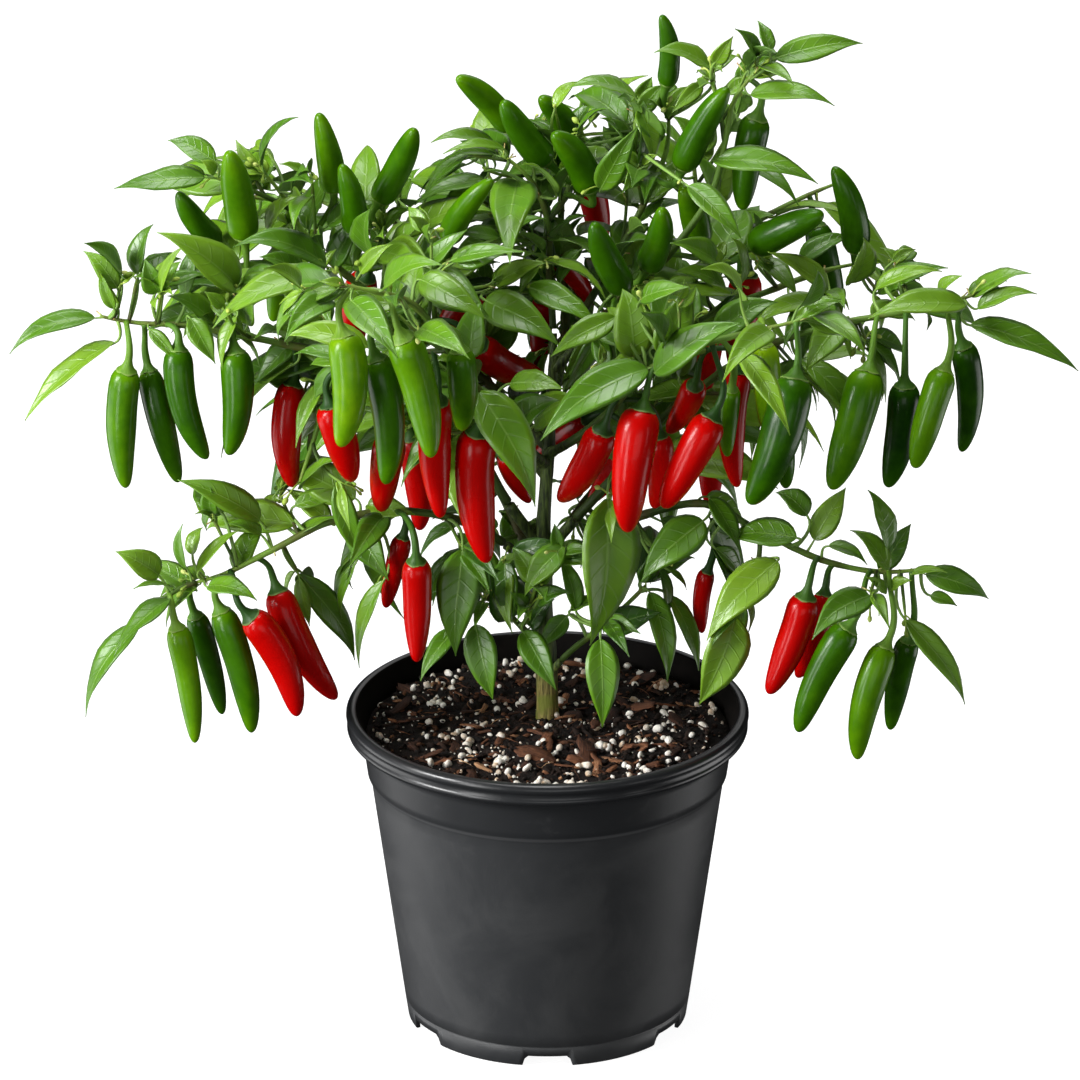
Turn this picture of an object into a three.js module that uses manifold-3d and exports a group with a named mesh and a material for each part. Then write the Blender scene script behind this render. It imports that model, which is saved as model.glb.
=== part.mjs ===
// Chilli pepper plant growing in a round nursery pot, in millimetres, +Z up.
// The origin is on the ground, under the middle of the pot.
import * as THREE from "three";
import Module from "manifold-3d";
import { mergeVertices } from "three/addons/utils/BufferGeometryUtils.js";

const wasm = await Module();
wasm.setup();

// Driving dimensions of the pot
const POT_SIDES = 24;
const POT_HEIGHT = 185;
const RIM_RADIUS = 115;
const FOOT_RADIUS = 80;
const WALL = 1.8;
const WALL_SPREAD = 24 / 170;
const STEP_HEIGHT = 142;
const STEP_WIDTH = 1.5;
const STEP_RISE = 1;
const RIM_UNDERSIDE = 172.5;
const RIM_WALL = 6.5;
const RIM_ROUND = 2.5;
const FLOOR_HEIGHT = 8;
const FLOOR_THICKNESS = 2;
const FOOT_WALL = 2.8;
const NOTCHES = 6;
const NOTCH_WIDTH = 30;
const NOTCH_HEIGHT = 6.8;
const NOTCH_CORNER = 2;
const NOTCH_REACH = 15;
const DRAIN_RADIUS = 7;
const DRAIN_CIRCLE = 58;

// Driving dimensions of the soil and of the trunk's hole in it
const SOIL_TOP = 171;
const SOIL_EDGE_DROP = 6;
const SOIL_LUMP = 2.5;
const SOIL_RINGS = [0.8, 0.45];
const SOIL_GRAINS = 8;
const GRAIN_RADIUS = [2.5, 4.5];
const GRAIN_SPREAD = [20, 88];
const SOIL_CHIPS = 5;
const CHIP_LENGTH = [18, 30];
const CHIP_WIDTH = [8, 14];
const CHIP_THICKNESS = 5;
const CHIP_SPREAD = [30, 80];
const CHIP_TILT = 0.3;
const TRUNK_FOOT = [0, 12, 120];
const TRUNK_RADIUS = 7;
const TRUNK_SIDES = 6;

// Driving dimensions of the stems and chillies
const STEM_SIDES = 4;
const STEM_BASE_RADIUS = 2;
const STEM_THICKENING = 0.006;
const STEM_TIP_RADIUS = 1.5;
const TWIG_RADIUS = 1.8;
const TWIG_TAPER = 0.5;
const STUB_FLARE = 1.15;
const PEDICEL_RADIUS = 1.5;
const PEDICEL_REACH = 20;
const COLLAR_RADIUS = 2.2;
const CALYX_LENGTH = 7;
const CAP_GIRTH = 0.66;
const CHILLI_SIDES = 5;
const CHILLI_SHARES = [0, 0.12, 0.5, 0.86, 1];
const CHILLI_GIRTHS = [0.76, 1, 0.97, 0.6, 0];
const CHILLI_BOW = [0.03, 0.09];

// Driving dimensions of the leaves
const STALK_RADIUS = 1.1;
const BLADE_THICKNESS = 1.5;
const BLADE_FOLD = 0.36;
const BLADE_BEND = [0.6, 1.1];
const BLADE_ROLL = [-0.3, 0.3];
const BLADE_SKEW = 0.65;
const BLADE_POINT = 1.15;
const LIGHT = [0, -0.5, 0.85];
const LIGHT_SPREAD = 0.4;
const SHORT_BLADE = 45;
const SHORT_RINGS = [0, 0.38];
const LONG_RINGS = [0, 0.22, 0.55];
const RING_ALLOWANCE = 1.06;

// Leaves set by rule: their reach, stalk, width for their reach, and how far they lean and droop
const RULE_REACH = [40, 62];
const WHORL_REACH = [30, 46];
const RULE_STALK = [8, 16];
const RULE_WIDTH = [0.3, 0.38];
const RULE_BEND = [0.7, 1.2];
const RULE_TURN = [-0.4, 0.4];
const RULE_LEAN = 0.75;
const WHORL_LEAN = 1.6;
const WHORL_STEP = 2;
const RULE_DIP = 0.15;
const RULE_DROOP = 0.3;
const TIP_REST = 6;
const GOLDEN_ANGLE = 2.4;

// Space kept between things
const GAP = 0.3;
const WELD = 0.02;
const CANOPY_DEPTH = 165;
const SOIL_SPACE = 6;
const RIM_SPACE = 6;
const INNER_RIM_SPACE = 19;
const ROOT_START = 0.12;
const ROOT_INSET = 1.5;
const ROOT_SPREAD = 1.4;
const SAMPLE_STEP = 5.5;
const BLADE_SPACE = 7;
const OWN_BLADE_SPACE = 3;
const FOOT_SHARE = 0.3;
const STALK_SHARE = 0.4;
const ROD_SPACE = 4.6;
const HALF_BLADE = 1.2;
const TOUCH_SPACE = 0.7;
const DEPTH_TRIES = [0, -5, 5, -10, 10, -15, 15, -21, 21, -28, 28, -36, 36];
const TURN_TRIES = [0, 0.6, -0.6];
const RULE_TURN_TRIES = [0, 0.6, -0.6, 1.2, -1.2, 1.8, -1.8, 2.4, -2.4, 3.1];
// Moving a thing towards or away from the viewer by 1 lowers it by this much, so it looks the same
const SIGHT_SLOPE = 0.4142;
const STEEP = 0.8;
const UP = new THREE.Vector3(0, 0, 1);

const COLOURS = {
  pot: { color: 0x1a1b1d, roughness: 0.42, metalness: 0 },
  soil: { color: 0x2b1f18, roughness: 0.95, metalness: 0 },
  trunk: { color: 0x6f6a3c, roughness: 0.75, metalness: 0 },
  foliage: { color: 0x3f7f2c, roughness: 0.45, metalness: 0 },
  red: { color: 0xb5120d, roughness: 0.2, metalness: 0 },
};

const plant = new THREE.Group();

// One seeded sequence makes every random draw
let seed = 20110;
function random(low, high) {
  seed = (seed * 16807) % 2147483647;
  return low + (high - low) * (seed / 2147483647);
}

function draw([low, high]) {
  return random(low, high);
}

function vec(p) {
  return new THREE.Vector3(p[0], p[1], p[2]);
}

function lerp(a, b, t) {
  return a.clone().lerp(b, t);
}

function step(from, direction, distance) {
  return from.clone().addScaledVector(direction, distance);
}

// Solids: closed meshes that can be joined and cut
function toSolid(geometry) {
  geometry.deleteAttribute("normal");
  geometry.deleteAttribute("uv");
  const merged = mergeVertices(geometry, 1e-4);
  return new wasm.Manifold(new wasm.Mesh({
    numProp: 3,
    vertProperties: new Float32Array(merged.attributes.position.array),
    triVerts: new Uint32Array(merged.index.array),
  }));
}

function toGeometry(solid) {
  const mesh = solid.getMesh();
  const geometry = new THREE.BufferGeometry();
  geometry.setAttribute("position", new THREE.BufferAttribute(mesh.vertProperties, 3));
  geometry.setIndex(new THREE.BufferAttribute(mesh.triVerts, 1));
  geometry.computeVertexNormals();
  return geometry;
}

// Joins solids into one body. A hollow that joining seals is filled, a loose scrap is dropped and
// corners closer together than WELD become one.
function join(solids) {
  const bodies = wasm.Manifold.union(solids).decompose();
  const largest = bodies.reduce((best, body) => (body.volume() > best.volume() ? body : best));
  return largest.simplify(WELD);
}

function addNode(name, solid, look) {
  const mesh = new THREE.Mesh(toGeometry(solid), new THREE.MeshStandardMaterial(look));
  mesh.name = name;
  plant.add(mesh);
}

// Closes a stack of rings into one skin. A ring of one point is a tip. Every second side is split
// the other way, so that both faces of a thin blade fold alike.
function skin(rings) {
  const corners = [];
  const starts = rings.map((ring) => {
    const start = corners.length / 3;
    ring.forEach((p) => corners.push(p.x, p.y, p.z));
    return start;
  });
  const index = [];
  for (let r = 0; r + 1 < rings.length; r++) {
    const low = starts[r];
    const high = starts[r + 1];
    const count = rings[r].length;
    for (let i = 0; i < count; i++) {
      const j = (i + 1) % count;
      if (rings[r + 1].length === 1) {
        index.push(low + i, low + j, high);
      } else if (i % 2 === 0) {
        index.push(low + i, low + j, high + j, low + i, high + j, high + i);
      } else {
        index.push(low + i, low + j, high + i, low + j, high + j, high + i);
      }
    }
  }
  const last = rings.length - 1;
  for (let i = 1; i + 1 < rings[0].length; i++) {
    index.push(starts[0], starts[0] + i + 1, starts[0] + i);
  }
  for (let i = 1; i + 1 < rings[last].length; i++) {
    index.push(starts[last], starts[last] + i, starts[last] + i + 1);
  }
  const geometry = new THREE.BufferGeometry();
  geometry.setAttribute("position", new THREE.Float32BufferAttribute(corners, 3));
  geometry.setIndex(index);
  return toSolid(geometry);
}

// A round bar through points, with a radius at each; radius 0 at the end makes a tip
function bar(points, radii, sides, startAxis) {
  const ways = points.slice(1).map((p, i) => p.clone().sub(points[i]).normalize());
  const across = new THREE.Vector3();
  const rings = points.map((p, i) => {
    let way = ways[Math.min(i, ways.length - 1)].clone();
    if (i > 0 && i < ways.length) way.add(ways[i - 1]).normalize();
    if (i === 0 && startAxis) way = startAxis.clone();
    const steep = Math.abs(way.z) > STEEP;
    if (i === 0) across.set(steep ? 1 : 0, 0, steep ? 0 : 1);
    across.addScaledVector(way, -across.dot(way)).normalize();
    const over = way.clone().cross(across);
    if (radii[i] === 0) return [p];
    return Array.from({ length: sides }, (_, k) => {
      const turn = (k / sides) * 2 * Math.PI;
      return p.clone().addScaledVector(across, radii[i] * Math.cos(turn))
        .addScaledVector(over, radii[i] * Math.sin(turn));
    });
  });
  return skin(rings);
}

// The pot: one moulded shell with a rolled rim, a stacking step, a notched foot and drain holes
function wallRadius(z) {
  return FOOT_RADIUS + WALL_SPREAD * z;
}

function makePot() {
  const stepTop = STEP_HEIGHT + STEP_RISE;
  const floorTop = FLOOR_HEIGHT + FLOOR_THICKNESS;
  const neck = wallRadius(RIM_UNDERSIDE) + STEP_WIDTH;
  const profile = [
    [0, FLOOR_HEIGHT],
    [FOOT_RADIUS - FOOT_WALL + WALL_SPREAD * FLOOR_HEIGHT, FLOOR_HEIGHT],
    [FOOT_RADIUS - FOOT_WALL, 0],
    [FOOT_RADIUS, 0],
    [wallRadius(STEP_HEIGHT), STEP_HEIGHT],
    [wallRadius(stepTop) + STEP_WIDTH, stepTop],
    [neck, RIM_UNDERSIDE],
    [RIM_RADIUS - RIM_ROUND, RIM_UNDERSIDE],
    [RIM_RADIUS, RIM_UNDERSIDE + RIM_ROUND],
    [RIM_RADIUS, POT_HEIGHT - RIM_ROUND],
    [RIM_RADIUS - RIM_ROUND, POT_HEIGHT],
    [RIM_RADIUS - RIM_WALL, POT_HEIGHT],
    [neck - WALL, RIM_UNDERSIDE + WALL],
    [wallRadius(stepTop) + STEP_WIDTH - WALL, stepTop],
    [wallRadius(STEP_HEIGHT - STEP_RISE) - WALL, STEP_HEIGHT - STEP_RISE],
    [wallRadius(floorTop) - WALL, floorTop],
    [0, floorTop],
  ];
  const turned = new THREE.LatheGeometry(profile.map(([r, z]) => new THREE.Vector2(r, z)), POT_SIDES);
  turned.rotateX(Math.PI / 2);
  let pot = toSolid(turned);
  for (let k = 0; k < NOTCHES; k++) {
    const turn = (k / NOTCHES) * 2 * Math.PI;
    const half = NOTCH_WIDTH / 2;
    const outline = new THREE.Shape();
    outline.moveTo(-half, -NOTCH_CORNER);
    outline.lineTo(half, -NOTCH_CORNER);
    outline.lineTo(half - NOTCH_CORNER, NOTCH_HEIGHT - NOTCH_CORNER);
    outline.lineTo(half - 2 * NOTCH_CORNER, NOTCH_HEIGHT);
    outline.lineTo(2 * NOTCH_CORNER - half, NOTCH_HEIGHT);
    outline.lineTo(NOTCH_CORNER - half, NOTCH_HEIGHT - NOTCH_CORNER);
    outline.closePath();
    const notch = new THREE.ExtrudeGeometry(outline, { depth: 2 * NOTCH_REACH, bevelEnabled: false });
    notch.rotateX(Math.PI / 2);
    notch.translate(0, NOTCH_REACH - FOOT_RADIUS, 0);
    notch.rotateZ(turn);
    pot = pot.subtract(toSolid(notch));
    const drain = new THREE.CylinderGeometry(DRAIN_RADIUS, DRAIN_RADIUS, 3 * FLOOR_THICKNESS, 6);
    drain.rotateX(Math.PI / 2);
    drain.translate(0, -DRAIN_CIRCLE, FLOOR_HEIGHT + FLOOR_THICKNESS / 2);
    drain.rotateZ(turn);
    pot = pot.subtract(toSolid(drain));
  }
  return pot;
}

// The soil fills the pot; its top is lumpy, with grains and bark chips standing out of it
function makeSoil() {
  const floorTop = FLOOR_HEIGHT + FLOOR_THICKNESS;
  const stepBottom = STEP_HEIGHT - STEP_RISE;
  const edge = SOIL_TOP - SOIL_EDGE_DROP;
  const innerFoot = wallRadius(floorTop) - WALL - GAP;
  const innerStep = wallRadius(stepBottom) - WALL - GAP;
  const innerTop = wallRadius(edge) + STEP_WIDTH - WALL - GAP;
  const around = (radius, height) => Array.from({ length: POT_SIDES }, (_, k) => {
    const turn = (k / POT_SIDES) * 2 * Math.PI;
    return new THREE.Vector3(radius * Math.sin(turn), radius * Math.cos(turn), height());
  }).reverse();
  const lumpy = () => SOIL_TOP + random(-SOIL_LUMP, SOIL_LUMP);
  const lumps = [skin([
    around(innerFoot, () => floorTop + GAP),
    around(innerStep, () => stepBottom),
    around(innerStep + STEP_WIDTH, () => STEP_HEIGHT + STEP_RISE + GAP),
    around(innerTop, () => edge),
    ...SOIL_RINGS.map((share) => around(innerTop * share, lumpy)),
    [new THREE.Vector3(0, 0, SOIL_TOP)],
  ])];
  for (let k = 0; k < SOIL_GRAINS; k++) {
    const turn = random(0, 2 * Math.PI);
    const radius = draw(GRAIN_SPREAD);
    const grain = new THREE.OctahedronGeometry(draw(GRAIN_RADIUS), 0);
    grain.rotateX(random(0, Math.PI));
    grain.rotateY(random(0, Math.PI));
    grain.translate(radius * Math.cos(turn), radius * Math.sin(turn), SOIL_TOP);
    lumps.push(toSolid(grain));
  }
  for (let k = 0; k < SOIL_CHIPS; k++) {
    const turn = random(0, 2 * Math.PI);
    const radius = draw(CHIP_SPREAD);
    const chip = new THREE.BoxGeometry(draw(CHIP_LENGTH), draw(CHIP_WIDTH), CHIP_THICKNESS);
    chip.rotateX(random(-CHIP_TILT, CHIP_TILT));
    chip.rotateZ(random(0, Math.PI));
    chip.translate(radius * Math.cos(turn), radius * Math.sin(turn), SOIL_TOP);
    lumps.push(toSolid(chip));
  }
  const foot = vec(TRUNK_FOOT);
  const hole = [step(foot, UP, -GAP), step(foot, UP, SOIL_TOP)];
  const holeRadius = (TRUNK_RADIUS + GAP) / Math.cos(Math.PI / TRUNK_SIDES);
  return join(lumps).subtract(bar(hole, [holeRadius, holeRadius], TRUNK_SIDES));
}

// Stems. Each leafy branch has a main stem and side twigs, as routes of points read off the plant.
// split is how far along its main stem the branch still belongs to the trunk.
const TRUNK_ROUTE = [
  TRUNK_FOOT, [0, 12, 176], [-1, 11, 215], [-3, 10, 250], [-3, 10, 285],
  [-1, 12, 320], [1, 14, 350], [2, 16, 376], [4, 18, 398],
];
const TRUNK_RADII = [TRUNK_RADIUS, TRUNK_RADIUS, 6.6, 6.3, 6, 5, 4.4, 3.8, 3.2];
const BRANCHES = {
  low_left: {
    split: 34,
    main: [[-4, 10, 262], [-27, 2, 291], [-52, -8, 308], [-92, -18, 317], [-123, -24, 313],
      [-158, -30, 297], [-184, -34, 285], [-199, -36, 281]],
    twigs: [[[-199, -36, 281], [-216, -40, 274], [-229, -41, 260]]],
  },
  low_right: {
    split: 34,
    main: [[-1, 10, 268], [30, 0, 295], [58, -10, 313], [89, -16, 321], [120, -22, 307],
      [160, -28, 290], [188, -32, 286], [214, -34, 289]],
    twigs: [[[120, -22, 307], [119, -32, 290], [110, -40, 270]]],
  },
  mid_left: {
    split: 33,
    main: [[-4, 10, 285], [-24, 6, 315], [-38, 2, 343], [-66, -4, 376], [-112, -8, 407],
      [-145, -10, 415], [-173, -12, 422], [-207, -14, 429], [-230, -16, 431], [-252, -18, 436]],
    twigs: [
      [[-173, -12, 422], [-181, -16, 439], [-178, -21, 454]],
      [[-112, -8, 407], [-124, -14, 384], [-133, -18, 358], [-140, -20, 336]],
    ],
  },
  mid_right: {
    split: 29,
    main: [[-1, 10, 280], [18, 4, 306], [41, -2, 336], [61, -8, 366], [86, -12, 390],
      [117, -16, 414], [159, -20, 431], [198, -22, 440], [229, -22, 447], [239, -24, 451]],
    twigs: [],
  },
  crown_left: {
    split: 30,
    main: [[-1, 14, 344], [-27, 20, 373], [-61, 24, 402], [-95, 26, 428], [-123, 26, 452],
      [-140, 28, 471], [-149, 28, 490], [-160, 26, 505]],
    twigs: [
      [[-146, 28, 483], [-166, 22, 496], [-188, 13, 508]],
      [[-95, 26, 428], [-130, 14, 438], [-160, 8, 446], [-184, 16, 450]],
      [[-61, 24, 402], [-64, 8, 430], [-60, -8, 456]],
      [[-95, 26, 428], [-92, 22, 450], [-94, 20, 472]],
    ],
  },
  top_mid: {
    split: 26,
    main: [[3, 17, 384], [3, 30, 412], [1, 40, 441], [0, 48, 468], [-8, 50, 489], [-26, 55, 505]],
    twigs: [[[0, 48, 468], [12, 60, 484], [10, 68, 504]]],
  },
  top_centre: {
    split: 26,
    main: [[4, 18, 394], [21, 30, 421], [41, 38, 454], [58, 42, 489], [67, 44, 512], [68, 44, 535]],
    twigs: [
      [[31, 34, 438], [41, 17, 442], [50, 2, 446]],
      [[58, 42, 489], [51, 37, 512], [50, 40, 538]],
    ],
  },
  top_right: {
    split: 30,
    main: [[4, 17, 390], [37, 15, 428], [75, 8, 472], [93, 8, 502], [100, 8, 532], [105, 8, 556],
      [117, 10, 572]],
    twigs: [[[100, 8, 532], [96, 16, 550], [92, 26, 564]]],
  },
  right_top: {
    split: 30,
    main: [[2, 15, 364], [41, 20, 388], [86, 30, 415], [126, 34, 431], [160, 34, 444], [176, 30, 449]],
    twigs: [[[86, 30, 415], [100, 18, 430], [108, 10, 442]]],
  },
  front_left: {
    split: 26,
    main: [[-1, 12, 334], [-27, -40, 382], [-55, -80, 440], [-79, -100, 478], [-99, -110, 488],
      [-113, -112, 492]],
    twigs: [
      [[-55, -80, 440], [-82, -72, 434], [-110, -64, 424]],
      [[-27, -40, 382], [-52, -46, 392], [-74, -48, 396]],
    ],
  },
  front_right: {
    split: 26,
    main: [[0, 12, 340], [30, -40, 382], [57, -75, 426], [85, -90, 447], [118, -95, 458],
      [141, -95, 464]],
    twigs: [[[57, -75, 426], [74, -58, 426], [94, -46, 428]]],
  },
  back_left: {
    split: 26,
    main: [[-1, 12, 326], [-32, 50, 366], [-62, 84, 402], [-92, 112, 428], [-124, 134, 444],
      [-160, 148, 456]],
    twigs: [[[-92, 112, 428], [-84, 134, 442], [-80, 152, 462]]],
  },
  back_right: {
    split: 26,
    main: [[2, 14, 356], [36, 48, 384], [70, 80, 410], [100, 108, 430], [134, 130, 444],
      [170, 142, 456]],
    twigs: [[[100, 108, 430], [88, 128, 446], [84, 146, 468]]],
  },
  back_mid: {
    split: 26,
    main: [[3, 17, 370], [10, 50, 402], [8, 80, 434], [8, 108, 458], [12, 134, 474], [22, 160, 488]],
    twigs: [[[8, 80, 434], [-18, 98, 452], [-36, 110, 476]]],
  },
  back_low_left: {
    split: 30,
    main: [[-3, 10, 258], [-22, 46, 292], [-44, 84, 318], [-68, 112, 328], [-94, 134, 328],
      [-118, 150, 320]],
    twigs: [],
  },
  back_low_right: {
    split: 30,
    main: [[-2, 11, 272], [26, 48, 302], [56, 82, 326], [84, 112, 340], [112, 134, 344],
      [144, 150, 338]],
    twigs: [],
  },
  shoot_left: {
    split: 16,
    main: [[-1, 11, 218], [-16, 0, 240], [-28, -14, 258], [-36, -28, 268]],
    twigs: [[[-16, 0, 240], [-12, -14, 248], [-10, -26, 262]]],
  },
  shoot_right: {
    split: 16,
    main: [[0, 11, 204], [14, -4, 226], [26, -26, 246], [32, -40, 262]],
    twigs: [[[14, -4, 226], [36, -6, 246], [56, -4, 266]]],
  },
};

// Chillies: where each one leaves its cap, where its tip is, its greatest radius, and 1 if it is red
const CHILLIES = {
  low_left: [
    [[-210, -45, 257], [-200, -52, 189], 7.4, 0],
    [[-200, -20, 254], [-185, -20, 193], 6.8, 0],
    [[-185, -40, 265], [-168, -44, 192], 8.5, 0],
    [[-168, -55, 268], [-142, -58, 208], 9.4, 1],
    [[-153, -30, 273], [-120, -30, 207], 9.1, 1],
    [[-74, -60, 304], [-74, -64, 244], 8.5, 1],
    [[-82, -20, 302], [-92, -10, 255], 6, 1],
  ],
  low_right: [
    [[146, -50, 278], [125, -56, 221], 9.4, 1],
    [[157, -25, 269], [142, -22, 217], 7.4, 1],
    [[170, -55, 261], [142, -62, 200], 9.4, 0],
    [[191, -50, 247], [176, -54, 180], 8.5, 0],
    [[205, -30, 243], [195, -26, 186], 7.4, 0],
    [[91, -5, 275], [88, -3, 236], 5.2, 1],
  ],
  mid_left: [
    [[-237, -30, 408], [-238, -34, 338], 8.8, 0],
    [[-225, -14, 401], [-209, -10, 332], 7.4, 0],
    [[-208, -26, 419], [-192, -32, 355], 8.5, 0],
    [[-176, -30, 419], [-180, -36, 359], 9.1, 0],
    [[-144, -5, 389], [-144, -8, 328], 9.1, 1],
    [[-24, 0, 344], [-10, 15, 309], 6, 1],
  ],
  mid_right: [
    [[180, -45, 413], [160, -52, 345], 11, 0],
    [[201, -35, 401], [192, -30, 337], 9.1, 0],
    [[223, -32, 408], [207, -38, 352], 8.8, 0],
    [[234, -20, 419], [234, -14, 352], 8, 0],
    [[24, -10, 371], [-7, 20, 336], 8.5, 1],
    [[48, 15, 345], [24, 22, 306], 7, 1],
  ],
  front_left: [
    [[-114, -105, 459], [-116, -112, 395], 10, 0],
    [[-96, -90, 439], [-91, -94, 365], 9.7, 0],
    [[-81, -118, 463], [-65, -126, 394], 10.6, 0],
    [[-49, -95, 446], [-48, -90, 396], 8.5, 0],
    [[-62, -80, 410], [-60, -76, 337], 9.7, 1],
    [[-39, -100, 399], [-34, -106, 322], 11.2, 1],
    [[-122, -60, 399], [-110, -52, 350], 9.7, 1],
    [[-88, -50, 374], [-94, -34, 324], 9.7, 1],
  ],
  front_right: [
    [[53, -90, 408], [45, -96, 337], 11.6, 1],
    [[92, -90, 403], [65, -92, 350], 10.2, 1],
    [[63, -40, 372], [60, -34, 326], 7.4, 1],
    [[121, -70, 439], [122, -62, 386], 8, 0],
    [[138, -100, 431], [113, -108, 359], 12, 0],
    [[103, -85, 419], [101, -80, 376], 6, 0],
    [[108, -50, 416], [107, -50, 345], 8, 1],
    [[83, -40, 403], [68, -20, 366], 7.4, 1],
    [[31, -30, 371], [7, -10, 321], 9.4, 1],
  ],
  crown_left: [
    [[-171, 10, 473], [-179, -4, 530], 9.2, 0],
    [[-188, 30, 463], [-208, 10, 500], 7.1, 0],
    [[-121, 35, 493], [-129, 20, 544], 7.7, 0],
    [[-109, 10, 478], [-116, -6, 523], 7.7, 0],
    [[-95, 20, 491], [-75, 2, 541], 8, 0],
    [[-55, -10, 480], [-31, -30, 523], 7.4, 0],
    [[-39, 20, 403], [-4, 60, 370], 9.4, 1],
    [[-39, 40, 429], [-61, 60, 384], 8, 1],
  ],
  top_mid: [
    [[-21, 70, 516], [-51, 52, 553], 7.7, 0],
    [[-1, 50, 504], [-25, 34, 546], 8.5, 0],
    [[16, 75, 510], [-4, 60, 538], 7.4, 0],
    [[24, 35, 492], [3, 18, 532], 8.8, 0],
    [[-3, 44, 422], [-5, 50, 376], 6.8, 1],
    [[7, 60, 438], [25, 80, 404], 6.2, 1],
  ],
  top_centre: [
    [[67, 44, 552], [64, 38, 596], 6.2, 0],
    [[76, 20, 511], [101, 8, 563], 8.5, 0],
    [[56, 2, 457], [64, -16, 500], 8, 0],
    [[43, -15, 451], [26, -30, 497], 8.5, 0],
  ],
  top_right: [
    [[118, 20, 541], [110, 16, 487], 9.1, 0],
    [[86, 15, 469], [76, 0, 507], 8.5, 0],
  ],
  right_top: [
    [[117, 10, 468], [155, -10, 495], 9.1, 0],
    [[174, 34, 456], [161, 26, 509], 8, 0],
    [[94, 5, 415], [89, 12, 376], 6.8, 1],
  ],
  back_left: [
    [[-104, 124, 404], [-112, 134, 338], 9.4, 1],
    [[-148, 140, 428], [-158, 150, 366], 8.6, 0],
  ],
  back_right: [
    [[114, 122, 406], [108, 132, 342], 9.6, 1],
    [[154, 138, 430], [166, 148, 368], 8.4, 0],
  ],
  back_mid: [
    [[0, 112, 436], [-10, 124, 372], 9, 0],
    [[20, 150, 462], [30, 164, 404], 8.6, 1],
  ],
  back_low_left: [
    [[-78, 128, 304], [-74, 136, 242], 9.2, 1],
  ],
  back_low_right: [
    [[96, 128, 318], [94, 138, 256], 9, 1],
    [[128, 146, 318], [138, 156, 260], 7.8, 0],
  ],
};

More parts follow.
